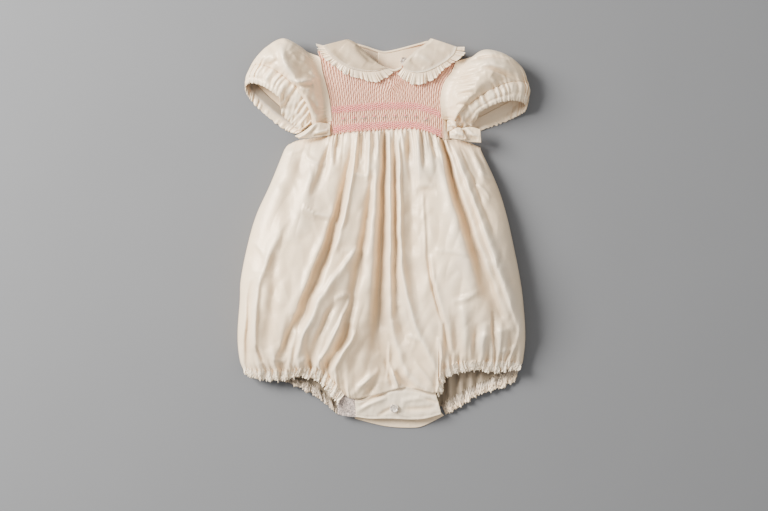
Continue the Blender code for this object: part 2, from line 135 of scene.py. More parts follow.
# Gathers that fade away from a seam: height, shift along the seam, pitch against the seam's own, sharpness,
# reach from the seam and the power that the distance is raised to.
WAIST_GATHERS = ((0.4, 0, 0.5, 1, 5, 1), (0.8, 0, 1, 1, 11, 1.3), (1.1, 3, 2.1, 0.7, 40, 2))
HEM_GATHERS = ((0.9, 0, 1, 1, 6, 1.2), (1.2, 4, 1.7, 0.7, 14, 1.4), (1.7, 9, 3.1, 0.8, 30, 1.8))
BACK_HEM_GATHERS = ((1.1, 0, 2.2, 1, 22, 1.4), (0.8, 0, 1, 1, 8, 1.2))
BACK_WAIST_GATHERS = ((0.7, 0, 1, 1, 18, 1.4),)

# Folds of the front, each from its upper to its lower end: x, y, x, y, bow to the right, half width at
# each end, lean (above 0, its right side is the longer one) and height, below 0 for a trough.
CENTRE_FOLDS = (
    (2.5, 122, -7, -130, 0.5, 2.2, 7.5, 0.1, -9.5),
    (-6, -60, 3, -158, -1, 8, 17, 0, -4.5),
    (7.5, 122, 9, -112, -0.5, 2.2, 3.4, 0, 3.6),
    (9, -94, 27, -158, -2, 3, 4, 0.2, 3.2),
    (12.8, 122, 14, -96, 0, 1.8, 4.4, 0.1, -4.8),
    (16, -78, 27, -120, -1, 4, 6, 0, -3.6),
    (18, 122, 19.5, -36, 0, 2, 2.8, -0.2, 3.8),
    (18.5, -18, 62, -154, -9, 3, 4.5, 0.45, 5.2),
    (27, 116, 33, -92, 0, 4.5, 9, 0, -3.4),
    (36, 118, 40, 50, 0, 2.6, 3.2, 0.5, 2.6),
    (44, 46, 46, -34, 0, 2, 2, 0, 1.2),
    (45.5, 44, 49, -44, 0, 2.2, 2.4, 0.2, -0.9),
    (48.5, -26, 68, -104, -3, 1.8, 2.4, 0.3, -2.6),
    (51, -24, 74, -110, -3.4, 2.2, 3, 0.6, 2.4),
    (67, -98, 77, -144, -2, 2, 3, 0, -3.4),
    (60, -112, 70, -146, -1, 2.4, 3, 0, 2.6),
    (66, 92, 92, -50, -3, 10, 16, 0, 1.8),
    (7.5, -118, 5, -156, 0, 1.8, 2.2, 0.3, 2.2),
    (2, -138, 11, -170, 1, 2.4, 3, 0.2, -2.8),
    (6, -142, 17, -172, 1, 2.2, 2.8, -0.3, 3.4),
    (14, -150, 34, -170, -2, 2.6, 4, 0.2, -2.6),
    (22, -146, 54, -176, -2, 2.4, 3, 0.4, 2.6),
    (-12, -150, -36, -178, 2, 2.6, 3, 0.2, 2.4),
    (-4, -156, -24, -180, 2, 2.6, 3, 0.2, -2.2),
    (-22, 120, -23, 80, 0, 1.9, 2.6, 0.2, -3.8),
    (-27, 119, -28, 88, 0, 2.4, 2.4, -0.2, 2.6),
    (-47, 116, -52, 72, 0, 2.2, 3.0, 0.2, -4),
    (-52, 115, -58, 80, 0, 2.2, 3.0, 0, 2.4),
    (-41, 115, -43, 84, 0, 2.2, 2.6, 0, 2.2),
    (-5, 121, -6, 84, 0, 2.4, 2.8, 0, 2.4),
    (28, 120, 30, 78, 0, 1.8, 2.6, 0, -3.6),
    (23.5, 120, 24, 88, 0, 2.0, 2.4, 0, 2.2),
    (41, 117, 45, 70, 0, 1.7, 2.4, 0.2, -3.8),
    (46.5, 116, 55, 58, 0, 2.4, 4, 0, 2.6),
    (50.5, 114, 58, 80, 0, 1.8, 2.4, 0.2, -3.6),
    (57, 111, 68, 74, 0, 2.4, 2.8, 0, 2.6),
)
RIGHT_FOLDS = (
    (62, 118, 133, -104, -4.5, 2.8, 8, -0.4, -10.5),
    (66, 102, 84, 42, -1, 1.2, 1.7, 0, -2.6),
    (74, 102, 150, -108, 0, 2.4, 5.2, 0.55, 6),
    (56, 112, 106, -66, -3, 3, 8, -0.4, 3.2),
    (84, 94, 120, 0, 1, 1.6, 2.4, 0.3, -2.2),
    (84, 100, 104, 52, 3, 3, 5, 0, -2.8),
    (93, 99, 112, 54, 1, 3.2, 4.2, 0, 2.4),
    (98, 40, 126, -60, 1, 5, 8, 0, -1.8),
    (87, -66, 93, -148, -1, 6, 5, 0.2, 3.8),
    (79, -88, 82, -150, -1, 4, 4, 0, -3.2),
    (103, -98, 99, -150, -1, 3.2, 3, 0, -3.4),
    (112, -98, 108, -146, -1, 5, 4.5, 0.2, 4.6),
    (118.5, -84, 121, -144, 1, 2.2, 2.8, 0.3, -3.4),
    (129, -90, 125, -144, 2, 4, 3.5, 0, 3.6),
    (139, -104, 130, -150, 3, 3, 3, 0, -3.8),
    (150, -90, 132, -146, 4, 3.2, 3, 0.2, 3.8),
    (147, -112, 143, -148, 0, 2.6, 2.6, 0, -2),
)
LEFT_FOLDS = (
    (-35, 92, -110, -132, 11, 2.6, 9, -0.3, -8),
    (-46, 48, -121, -140, 4, 2.2, 5.5, -0.5, 4.4),
    (-30, 96, -54, -22, 4, 1.8, 2.8, 0.2, 3.6),
    (-33, 70, -47, -20, 3, 6, 8, 0, 1.6),
    (-27, -14, -71, -76, -1, 3.6, 4.4, 0.4, 4.8),
    (-66, -64, -99, -150, -2, 3.6, 3.6, 0.4, 5),
    (-51, -74, -82, -148, -2, 3.4, 5, 0, -4.8),
    (-34, -64, -78, -150, 4, 3, 3.4, 0.4, 4.8),
    (-36, -98, -66, -154, 1, 4.5, 4, 0, -4.6),
    (-29, -106, -57, -154, -1, 2.4, 3, 0.4, 4.8),
    (-22, -118, -44, -168, 0, 5, 5, 0, -2),
    (-10, 70, -46, -130, 3.5, 2.6, 7.5, -0.2, -6.5),
    (-7, 112, -17, -88, 1, 2.8, 6, 0, 2.6),
    (-14, 116, -17, 58, 0, 2.0, 2.8, 0.2, 3),
    (-26, 106, -24, 64, 0, 5, 4.6, 0, -2.8),
    (-102, 22, -134, -56, -2, 6, 4, -0.2, 3.4),
    (-133, -44, -139, -128, -2, 4, 3.2, -0.3, 4.6),
    (-118, -12, -126, -128, 2, 6, 6, 0, -3.4),
    (-143, -52, -149, -146, -1, 2.2, 2.4, 0, -3.6),
    (-149, -60, -152, -140, 0, 2, 2, 0, 2),
    (-82, 96, -112, -4, -3, 7, 9, 0, -3.2),
    (-58, 98, -77, 40, 0, 3.2, 5, 0.2, -4),
    (-66, 98, -98, -10, 0, 5, 8, 0, 2.6),
    (-101, -88, -110, -152, 0, 4, 4, 0, -2.6),
    (-94, -102, -104, -152, 0, 3.4, 3, 0, 2.6),
)
# Press creases and short puckers by the seams, in the same columns.
CREASES = (
    (56, -20, 94, -25, 1.5, 2.4, 2.2, 0.5, 1.5),
    (74, -73, 103, -62, -2, 3, 3.6, -0.6, 1.7),
    (78, -78, 101, -69, -2, 3, 3.4, 0, -1.0),
    (-87, 31, -53, 20, -4, 2.6, 2.8, -0.6, 3),
    (-87, 24, -55, 13, -4, 3.4, 3.4, 0.3, -2.2),
    (-34, 66, -14, 64, -1, 2.2, 2.0, -0.5, 2),
    (-84, 86, -62, 76, -3, 2.4, 2.4, -0.4, 2.2),
    (-108, 90, -86, 94, -2, 2.4, 2.4, 0, 2),
    (36, 50, 58, 50, 2, 2.6, 3, 0.4, 1.4),
    (37, 45, 58, 44, 2, 2.4, 2.6, 0, -1.4),
    (105, 68, 124, 60, -1, 2, 2, 0.4, 2.2),
    (96, 54, 116, 38, 3, 2, 2, 0.4, 2),
    (100, 88, 112, 70, 2, 2.4, 2.4, 0, -2),
    (-144, -8, -130, -25, 2, 2.2, 2.2, 0.4, 1.8),
    (-138, -122, -131, -140, 0, 1.8, 2, 0, -3),
    (-120, -136, -105, -138, -2, 2.6, 2.6, 0.2, 2.8),
    (-94, -148, -79, -136, 3, 4, 4, 0, 2.6),
    (-53, -71, -35, -66, 2, 2.6, 2.6, -0.4, 3),
    (24, -113, 41, -119, 2, 2.6, 2.4, 0.3, 2.2),
    (-46, -20, -27, -19, 1, 2.2, 2.2, 0, 1.4),
    (8, -150, 18, -166, 0, 2, 2, 0, 3.1),
    (-4, -148, -30, -168, 2, 2.6, 2.6, 0, 3.1),
    (22, -150, 44, -170, -2, 2.6, 2.6, 0, 3.1),
    (34, -140, 56, -166, 0, 2, 2, 0, 2.4),
    (-146, -40, -120, -46, 1, 2.4, 2.4, 0, 1.2),
    (112, -30, 142, -38, -1, 2.4, 2.4, 0.2, 1.4),
    (104, -114, 118, -112, 2, 3, 3, 0, 1.6),
    (126, -128, 146, -122, -2, 2.6, 2.6, 0, 2),
)
# Folds of the back, which lift off the surface that it lies on.
BACK_FOLDS = (
    (-40, 108, -96, -120, 4, 4, 9, 0.2, 2.2),
    (-12, 110, -34, -150, 3, 4, 8, 0, 2.6),
    (8, 110, 12, -170, -3, 3, 9, 0.2, 3),
    (30, 108, 58, -150, -4, 4, 9, -0.2, 2.4),
    (52, 104, 104, -120, -3, 4, 8, 0.2, 2.2),
    (-70, 84, -128, -90, 4, 6, 8, 0, 1.6),
    (78, 84, 130, -70, 3, 6, 8, 0, 1.6),
    (-54, -60, -72, -168, 0, 5, 6, 0, 1.8),
    (78, -70, 92, -165, 0, 5, 6, 0, 2),
    (-100, -70, -112, -150, 0, 5, 5, 0, 1.6),
    (112, -80, 120, -152, 0, 5, 5, 0, 1.8),
    (0, -110, -6, -188, 0, 5, 5, 0, 1.4),
    (72, -136, 73, -196, 0, 3, 3.4, 0.2, 4),
    (83, -138, 86, -190, 1, 2.4, 3, 0, 3.2),
    (94, -138, 99, -184, 0, 2.4, 3, 0, 3),
    (106, -138, 111, -178, 0, 3, 3, 0.2, 2.4),
    (121, -138, 127, -172, 0, 2.6, 3, 0, 2.4),
    (136, -136, 141, -166, 0, 2.4, 2.6, 0, 2),
    (-58, -158, -58, -196, 0, 2.6, 3, 0, 3),
    (-68, -156, -72, -186, 0, 2.6, 3, 0, 2.6),
    (-80, -154, -88, -176, 0, 3, 3, 0, 2.4),
    (-98, -150, -106, -168, 0, 3, 3, 0, 2),
)

# Sides of the yoke: y, x of the left one, x of the right one.
YOKE_SIDES = (
    (107, -56.5, 66),
    (125, -57.5, 65.5),
    (148, -60, 64),
    (165, -64, 68),
    (178, -67.5, 77),
    (200, -71, 84),
)
YOKE_WAIST = ((-56.5, 107.5), (-33, 110.8), (-10, 112.4), (13, 113.8), (32, 114.6), (49, 112), (66, 103.8))
NECKLINE = (
    (-71, 200), (-37, 209), (-20, 198), (-5, 185), (13, 177.5), (27, 190), (40, 201), (53, 208),
    (84, 200),
)
YOKE_HEIGHT = 14.5
YOKE_EDGE = 2.0  # how much lower the yoke lies at its sides
STRIP_WAIST = 107.6  # y of the lower end of the side strips
STRIP_LAP = 0.4  # how far a strip runs in under the yoke's edge
# The lowest line of stitches on the yoke: x and y.
BAND_LINE = ((-57, 110.5), (-33, 112.8), (-10, 114.6), (15, 115.4), (36, 115), (50, 111.2), (66, 105))
BAND_ROWS = (0, 1, 2, 3, 4, 21, 22, 23, 24, 25)  # height above that line of each row of pink zigzag
CABLE_ROWS = (-0.6, 6.6, 20.6, 27.6)
HONEYCOMB_ROWS = (30, 88, 3.4)  # first, last and step
ROSEBUD_ROW = 13.5
PLEATS = 54
PLEAT_HEIGHT = 0.75
DIAMOND_ROWS = 13  # honeycomb rows between the waist and the neck
DIAMOND_PULL = 0.14  # how far a pleat is drawn to its neighbour, as a share of a pleat

BACK_NECKLINE = (
    (-71, 200), (-37, 210.5), (-20, 206), (-5, 201), (2, 200), (14, 202), (35, 207.5), (53, 212),
    (84, 200),
)
BACK_SIDES = (
    (107, -61, 71),
    (125, -61.5, 70.5),
    (148, -61, 66),
    (165, -64.5, 69),
    (178, -68, 77),
    (200, -71, 84),
)
BACK_BODICE_WAIST = ((-61, 107.8), (71, 105.8))
LAP = (-5, 19)  # x from and to where the right half of the back lies on the left one
LAP_FADE = 30
LAP_LIFT = 1.5
BODICE_ROUND = 9

# Rings of sleeves and cuffs: x, y, z of the outer end, the front and the inner end, and x, y of the back.
SLEEVE_LEFT = (
    (-75, 192.5, 7, -65.2, 160, 12.5, -63.5, 121.5, 6, -66, 158),
    (-93, 206, 12, -77, 166, 28, -67, 116, 7, -80, 160),
    (-110, 212.5, 15, -89, 170, 38, -71, 113, 8, -93, 160),
    (-127, 203.5, 15, -97, 172, 40.5, -75, 115, 9, -105, 154),
    (-140, 190.5, 14, -102, 171, 37, -77, 118, 10, -113, 148),
    (-146, 180.5, 12, -105, 168, 31, -79, 121, 11, -118, 144),
)
CUFF_LEFT = (
    (-150, 171, 11, -112, 160, 31, -83, 117, 10, -120, 136),
    (-150.5, 161, 10, -116, 150, 28.5, -91, 112, 8, -125, 127),
)
SLEEVE_RIGHT = (
    (93, 189, 7, 68.4, 152, 12.5, 73.5, 124.5, 6, 70, 154),
    (108, 200, 12, 84, 162, 27, 74.5, 120, 7, 88, 158),
    (124, 199, 15, 97, 165, 37, 75.5, 118, 8, 100, 156),
    (141, 191, 15, 107, 164, 39, 76.5, 118, 9, 110, 152),
    (154, 178, 14, 114, 161, 35, 77.5, 120.5, 10, 118, 144),
    (159.5, 162, 12, 117, 156, 29.5, 78.5, 120, 11, 121, 136),
)
CUFF_RIGHT = (
    (161, 155, 11, 120, 149, 29.5, 82, 116, 10, 123, 128),
    (157, 138.5, 10, 123, 140.5, 27, 90, 114, 8, 126, 120),
)
BELOW = -1.5  # z of the back of each ring
SLEEVE_PLEATS = 30  # gathers round a cuff
SLEEVE_LEFT_FOLDS = (
    (-97, 210, -76, 190, 2, 1.6, 1.4, 0, -2.2),
    (-110, 206, -96, 166, -4, 4, 4.5, 0.3, 4.6),
    (-96, 196, -84, 166, 0, 7, 9, 0, -3.2),
    (-107, 168, -74, 166, -4, 2.6, 2, 0.6, 4.6),
    (-106, 163, -76, 161, -3, 2.6, 2.4, -0.3, -4.9),
    (-94, 160, -78, 158, -1, 3, 3, 0, 2.4),
    (-131, 183, -114, 188, -2, 2.2, 2.4, 0, -2.2),
    (-135, 192, -112, 197, -3, 4, 5, 0, 2.4),
    (-124, 204, -112, 182, 2, 4, 4, 0, -2.4),
    (-79, 176, -70, 168, 0, 1.8, 1.6, 0, 2.2),
    (-90, 156, -70, 130, 1, 4, 4, 0, -3.2),
    (-84, 150, -70, 122, 1, 2.4, 2.4, 0, 2.2),
)
SLEEVE_RIGHT_FOLDS = (
    (94, 187, 134, 190, 3, 1.6, 2, 0.3, -3.2),
    (96, 192, 136, 195, 3, 3, 3, 0, 2.2),
    (106, 180, 148, 163, 3, 2, 2.6, 0.4, -3.8),
    (104, 184, 150, 170, 4, 4, 5, 0, 2.9),
    (80, 174, 106, 181, -2, 1.5, 2, 0, -2.2),
    (78, 169, 110, 175, -2, 1.5, 2.4, 0, -2.6),
    (78, 164, 104, 168, -1, 1.5, 2, 0, -2.2),
    (78, 158, 100, 160, 0, 1.6, 2, 0, -2.4),
    (80, 150, 100, 152, 1, 1.8, 2.4, 0, -2.9),
    (88, 180, 112, 187, -2, 1.4, 1.8, 0, -1.9),
    (118, 172, 138, 160, 1, 4, 4, 0, -2.6),
    (80, 140, 96, 138, 1, 2, 2.4, 0, -3.2),
)

# Halves of the collar: the neck edge, the seam of the ruffle and the ruffle's free edge, each as x and y.
COLLAR_LEFT = (
    ((-38, 212), (-31, 209), (-20, 199), (-5, 186), (3, 181)),
    ((-65, 205), (-54.5, 192), (-38, 181.5), (-23.5, 177.5), (-8.5, 177), (4, 180)),
    ((-73, 207), (-66, 194), (-51, 181), (-36, 172), (-21.5, 168), (-11, 165), (0, 167.5), (11, 175.5)),
)
COLLAR_RIGHT = (
    ((52, 213), (47, 208), (37, 201), (27.5, 192.5), (21, 185)),
    ((80, 203.5), (76, 195), (63, 185), (46.5, 177), (32, 176), (22, 181)),
    ((89, 204), (88.5, 196), (76, 186), (64, 178), (57, 169.5), (39, 162.5), (27, 165), (16, 173.5)),
)
COLLAR_FOLDS = (
    (-44, 204, -20, 184, 2, 5, 5, 0, 1.1),
    (-30, 206, -8, 186, -2, 3, 3, 0, -1.3),
    (-54, 200, -38, 184, 0, 3, 3, 0, -0.8),
    (36, 196, 54, 184, 1, 4, 4, 0, 1.3),
    (30, 190, 44, 180, -1, 3, 3, 0, -1.3),
    (48, 206, 72, 194, 1, 3, 4, 0, -1.1),
    (56, 200, 74, 198, 0, 4, 4, 0, 0.8),
)
COLLAR_HEIGHT = 19.0  # at its outer seam
RUFFLE_HEIGHT = 18.75  # at its seam
RUFFLE_GAP = 0.15  # how far its cloth starts from the seam
RUFFLE_DROP = 1.0  # how much lower its free edge lies
RUFFLE_PLEATS = 27
RUFFLE_PLEAT = 1.05  # height of one
BINDING = ((-3, 182.6), (5, 179.6), (13, 178), (21, 181.2))
BINDING_HEIGHT = 16.6
BINDING_RADIUS = 1.3
BACK_BINDING_HEIGHT = 2.0
BACK_BINDING_INSET = 0.8  # how far inside the back neckline its binding runs

# Free edges of the leg frills, from left to right: x and y.
FRILL_LEFT_FRONT = (
    (-151, -154.5), (-142, -158), (-127, -161), (-105, -160), (-96, -157), (-83, -158.5), (-72, -161.5),
    (-65, -168), (-57.5, -177), (-49.5, -186),
)
FRILL_RIGHT_FRONT = (
    (61.5, -179), (65.5, -171), (67.5, -159), (78, -154), (93, -150.5), (104, -149.5), (115, -152),
    (126, -152.5), (135, -150.5), (149, -149),
)
FRILL_LEFT_BACK = (
    (-150, -156), (-125, -159), (-104, -163), (-87, -172), (-76, -177), (-63, -186), (-49, -199),
)
FRILL_RIGHT_BACK = ((70, -199), (89, -187), (100, -179.5), (111, -174.5), (129, -170), (145, -162))
HEM_HEIGHT = 12.5
CROTCH_EDGE = 8.0  # height of the free edge of the front placket
HEM_STEP = 0.01  # share of a hem over which its direction is taken
FRILL_TIP = 12.5  # height of the free edge of the front frills
FRILL_PITCH = 1.75  # one pucker of the elastic along a frill's edge

# Upper and lower edges of the crotch bands, the tape and the ties: x and y.
CROTCH_FRONT = (
    ((-30.5, -183), (-24, -183.5), (-9, -179), (10, -172.5), (23, -170.8), (45, -174.5), (58, -176)),
    ((-29.5, -201), (-15, -203), (8, -203), (30, -204), (46, -203), (64, -198)),
)
CROTCH_BACK = (
    ((-30, -195), (0, -198.5), (30, -201.5), (60, -193)),
    ((-31, -203.5), (-6, -210), (8, -212.5), (28, -213.5), (41, -212.5), (54, -207), (67, -200)),
)
CROTCH_TAPE = (
    ((-49.5, -180.5), (-43, -176), (-28.5, -180)),
    ((-49.5, -198.5), (-40, -200.5), (-29, -201.5)),
)
CROTCH_FOLDS = (
    (-30, -196, 4, -180, 2, 3, 3, 0, 1.2),
    (-26, -190, 6, -176, 2, 2.2, 2.2, 0, -1.2),
    (-6, -200, 12, -190, 0, 2.4, 2.4, 0, -0.9),
    (20, -184, 52, -180, 1, 3, 3, 0, 1),
    (22, -192, 58, -190, -1, 2.6, 3, 0, -0.9),
    (14, -196, 30, -202, 0, 2, 2, 0, 0.8),
    (40, -178, 60, -186, 0, 2, 2, 0, -0.9),
)

SASH_LEFT = (
    ((-58, 120), (-73, 120.3), (-87, 111), (-96, 106.5)),
    ((-58, 107), (-70, 106), (-81, 104), (-92, 103.5)),
)
SASH_RIGHT_BAND = (
    ((72.5, 112), (85, 114.5), (96, 116), (106, 113.5)),
    ((73, 104), (84, 102), (94, 100), (107, 99)),
)
SASH_RIGHT_LOOP = (
    ((70, 123), (74, 124), (79, 122), (81.5, 117)),
    ((70, 111), (73, 112), (76, 113), (79, 115)),
)
SASH_RIGHT_END = (
    ((73, 111), (80, 115), (85, 114.5), (88, 109)),
    ((74, 104), (80, 102.5), (86, 102), (91, 102.5)),
)
TAPE_HEIGHT = 7.0  # of its lower end
TAPE_RISE = 5.0  # how much higher its upper end lies
LOOPS = 520  # of the tape
SASH_HEIGHT = 19.4
SASH_DROP = 4.5  # how much lower a tie starts at the seam that holds it
SASH_START = (76, 13)  # how far from the waist's middle a tie has its full height, and its run up to it
SASH_FOLDS = {
    "sash_left": (
        (-73, 121, -92, 104, 2, 1.4, 1.6, 0.3, 1.0),
        (-60, 113, -74, 110, 1, 1.6, 1.6, 0, 0.9),
        (-60, 110, -76, 106, 0, 1.2, 1.2, 0, -0.8),
        (-70, 118, -80, 108, 0, 2, 2, 0, -0.5),
    ),
    "sash_right_band": (
        (74, 108, 106, 106, 1, 1.6, 2, 0, 0.7),
        (84, 112, 104, 102, 0, 1.6, 2, 0, -0.7),
        (90, 116, 100, 106, 0, 1.5, 1.5, 0, 0.5),
    ),
    "sash_right_loop": (
        (70, 117, 80, 117, 1, 1.6, 1.6, 0, 0.9),
        (71, 122, 80, 113, 0, 1.4, 1.4, 0, -0.9),
    ),
    "sash_right_end": (
        (74, 108, 88, 106, 1, 1.8, 2.4, 0, 0.9),
        (75, 111, 89, 103, 0, 1.4, 1.6, 0, -0.8),
    ),
}

# Buttons: x, y and z of the foot, and the radius.
CROTCH_BUTTON = (12.3, -191.4, 10.7, 4.7)
NECK_BUTTON = (23, 189.5, 3.0, 4.2)
# Profile of a button, from the middle of its top round the rim to the middle of its foot: share of the
# radius and height.
BUTTON_SHARES = (0, 0.08, 0.16, 0.23, 0.3, 0.37, 0.44, 0.52, 0.62, 0.72, 0.82, 0.9, 0.96, 1, 1, 0.95, 0.6, 0)
BUTTON_LEVELS = (1.5, 1.5, 1.5, 1.5, 1.5, 1.5, 1.5, 1.52, 1.6, 1.85, 2.12, 2.2, 2.05, 1.7, 0.6, 0.1, 0, 0)
TOP_RINGS = 14  # how many of the profile's points the holes are sunk in
HOLE_PLACE = 0.3  # distance of a hole from the middle, as a share of the radius
HOLE_RADIUS = 0.1
HOLE_DEPTH = 1.1

THREAD_PITCH = 0.0008  # metres
DEEP_RELIEF = -1.25  # relief below which the cloth is painted darker, as the shade inside an opening
COOL_TINT = (0.88, 0.905, 0.955, 1)
PEARL_CLOUD = (0.95, 0.82, 0.67, 1)
SKY_COLOUR = (0.96, 0.97, 1.0, 1)
FLOOR_HALF = 4.0  # metres, as are the next two
FLOOR_DROP = 0.0002
CAMERA_ASIDE = (0.0003, -0.0239)  # x of the camera, and its y from the middle of the garment


class RomperCloth(bpy.types.PropertyGroup):
    """Cloth and threads of the romper."""

    wall: bpy.props.FloatProperty(
        name="Cloth", description="Thickness of the satin", default=0.0005, min=0.0002, unit="LENGTH"
    )
    fold_strength: bpy.props.FloatProperty(
        name="Folds", description="Depth of small folds and gathers, 1 as sewn", default=1.0, subtype="FACTOR"
    )
    satin: bpy.props.FloatVectorProperty(
        name="Satin", description="Ivory of the cloth",
        subtype="COLOR", size=3, default=(0.92, 0.70, 0.45),
    )
    # Painted highlight: the colour on the tops of folds.
    ridge: bpy.props.FloatVectorProperty(
        name="Ridges", description="Ivory where a fold stands up",
        subtype="COLOR", size=3, default=(1.0, 0.84, 0.62),
    )
    # Painted shade: the colour in the troughs between folds.
    trough: bpy.props.FloatVectorProperty(
        name="Troughs", description="Warm ivory between folds",
        subtype="COLOR", size=3, default=(0.60, 0.425, 0.245),
    )
    smocking: bpy.props.FloatVectorProperty(
        name="Smocking thread", description="Pink of the two bands",
        subtype="COLOR", size=3, default=(0.98, 0.26, 0.24),
    )
    honeycomb: bpy.props.FloatVectorProperty(
        name="Honeycomb thread", description="Peach of the honeycomb",
        subtype="COLOR", size=3, default=(0.84, 0.36, 0.25),
    )
    leaf: bpy.props.FloatVectorProperty(
        name="Leaf thread", description="Green of the rosebud leaves",
        subtype="COLOR", size=3, default=(0.32, 0.36, 0.27),
    )
    tape: bpy.props.FloatVectorProperty(
        name="Tape", description="Looped fastening tape",
        subtype="COLOR", size=3, default=(0.60, 0.49, 0.42),
    )
    pearl: bpy.props.FloatVectorProperty(
        name="Buttons", description="Pearl of the buttons",
        subtype="COLOR", size=3, default=(0.52, 0.42, 0.33),
    )


class RomperStage(bpy.types.PropertyGroup):
    """Floor, lights and camera."""

    floor: bpy.props.FloatVectorProperty(
        name="Floor", description="Colour of the floor",
        subtype="COLOR", size=3, default=(0.158, 0.158, 0.158),
    )
    camera_height: bpy.props.FloatProperty(
        name="Camera height", description="Camera above the floor", default=2.2, unit="LENGTH"
    )
    view_width: bpy.props.FloatProperty(
        name="View width", description="Width of the floor in view", default=0.845, unit="LENGTH"
    )
    key_power: bpy.props.FloatProperty(
        name="Key light", description="Power of the light from the upper left", default=151.0, unit="POWER"
    )
    fill_power: bpy.props.FloatProperty(
        name="Fill light", description="Power of the light from the right", default=8.0, unit="POWER"
    )
    sky: bpy.props.FloatProperty(name="Sky", description="Strength of the light from all round", default=0.58)


# ---------------------------------------------------------------------------------------------------------
# Curves and surfaces
# ---------------------------------------------------------------------------------------------------------


def smooth_through(points, at, t):
    """Cubic pieces through the points, whose slope at each is that between its neighbours."""
    t = np.clip(np.asarray(t, float), at[0], at[-1])
    i = np.clip(np.searchsorted(at, t, side="right") - 1, 0, len(at) - 2)
    last = len(at) - 1
    before, after = np.maximum(i - 1, 0), np.minimum(i + 2, last)
    width = at[i + 1] - at[i]
    s = (t - at[i]) / width
    span_a, span_b = at[i + 1] - at[before], at[after] - at[i]
    if points.ndim == 2:
        width, s, span_a, span_b = width[..., None], s[..., None], span_a[..., None], span_b[..., None]
    slope_a = (points[i + 1] - points[before]) / span_a
    slope_b = (points[after] - points[i]) / span_b
    a, b = points[i], points[i + 1]
    blend = s * s * (3 - 2 * s)
    return a + (b - a) * blend + width * (slope_a * s * (1 - s) ** 2 - slope_b * s * s * (1 - s))


def lengths_along(rows):
    """How far along the straight lines between the rows each of them lies."""
    steps = np.linalg.norm(np.diff(np.array(rows, float), axis=0), axis=1)
    return np.concatenate([[0], np.cumsum(steps)])


def along_curve(rows, t):
    """Points of the smooth curve through the rows at shares t of its length."""
    along = lengths_along(rows)
    return smooth_through(np.array(rows, float), along / along[-1], t)


def column(rows, value, which):
    """Column number which of a table, read smoothly at values of its first column."""
    table = np.array(rows, float)
    span = table[-1, 0] - table[0, 0]
    return smooth_through(table[:, which], (table[:, 0] - table[0, 0]) / span, (value - table[0, 0]) / span)


def mix(a, b, t):
    """The value that lies a share t of the way from a to b."""
    return a + (b - a) * t


def ease(t):
    """0 below 0, 1 above 1, and three t squared less two t cubed between."""
    t = np.clip(t, 0, 1)
    return t * t * (3 - 2 * t)


def bell(distance, half):
    """1 at distance 0, falling off as e to the minus of the square of the distance over the half width."""
    return np.exp(-((distance / half) ** 2))


def unit(vectors):
    """The vectors along the last axis, brought to length 1."""
    return vectors / np.maximum(np.linalg.norm(vectors, axis=-1, keepdims=True), 1e-9)


def rise(distance, reach):
    """A quarter of a circle: 0 at the edge, 1 at reach."""
    return np.sqrt(1 - (1 - np.clip(distance / reach, 0, 1)) ** 2)


def fold_heights(rows, x, y):
    """Sum of the folds at each point.

    Across a fold, its height falls off as a bell. The half width changes evenly from one end to the other
    and is larger on the side that the fold leans to. Along it, the height grows and fades as the square
    root of a half wave of a sine.
    """
    total = np.zeros(np.broadcast(x, y).shape)
    for x_a, y_a, x_b, y_b, bow, half_a, half_b, lean, height in rows:
        run_x, run_y = x_b - x_a, y_b - y_a
        length = math.hypot(run_x, run_y)
        t = np.clip(((x - x_a) * run_x + (y - y_a) * run_y) / length**2, 0, 1)
        across = ((y - y_a) * run_x - (x - x_a) * run_y) / length - bow * 4 * t * (1 - t)
        half = mix(half_a, half_b, t) * (1 + lean * np.sign(across))
        total += height * bell(across, half) * np.sqrt(np.sin(math.pi * t))
    return total


def crumple(x, y, size, turn=0.0):
    """Uneven small relief, from -1 to 1: the mean of five sine waves of unlike lengths and directions."""
    total = 0.0
    for k, (length, angle) in enumerate(((1.0, 0.3), (1.37, 1.5), (0.83, 2.4), (1.9, 0.9), (0.61, 2.9))):
        heading = angle + turn
        phase = (x * math.cos(heading) + y * math.sin(heading)) / (size * length)
        total = total + np.sin(TURN * phase + 1.7 * k + np.sin(phase * 2.3 + k))
    return total / 5


def press(x, y, size, turn):
    """Sharp small creases: 0.2 less the crumple's distance from 0, so they stand highest where it is 0."""
    return 0.2 - np.abs(crumple(x, y, size, turn))


def gathers(along, pitch, sharp=1.0):
    """Uneven gathers along a seam, from -1 to 1: a cosine whose phase wanders, pointed by a power."""
    phase = along / pitch + 0.33 * np.sin(along / (pitch * 1.9)) + 0.21 * np.sin(along / (pitch * 0.83) + 1.3)
    wave = 0.5 + 0.5 * np.cos(TURN * phase)
    return 2 * wave**sharp - 1


def fading_gathers(along, away, pitch, rows, raised=False):
    """Sum of gathers along a seam, each fading as e to the minus of a power of the distance over its reach.

    Raised ones run from 0 to 1 and not from -1 to 1.
    """
    total = 0.0
    for height, shift, pitches, sharp, reach, power in rows:
        wave = gathers(along + shift, pitches * pitch, sharp)
        total = total + height * ((1 + wave) / 2 if raised else wave) * np.exp(-((away / reach) ** power))
    return total


def ring_gathers(u, count, sharp=1.0, shift=0.0):
    """The same round a tube: the phase wanders in whole waves, so that the end meets the start."""
    turn = TURN * u
    wander = 0.45 * np.sin(3 * turn + shift) + 0.3 * np.sin(7 * turn + 2 * shift) + 0.13 * np.sin(17 * turn)
    wave = 0.5 + 0.5 * np.cos(TURN * (count * u + wander))
    return (2 * wave**sharp - 1) * (0.72 + 0.28 * np.sin(5 * turn + 3 * shift))


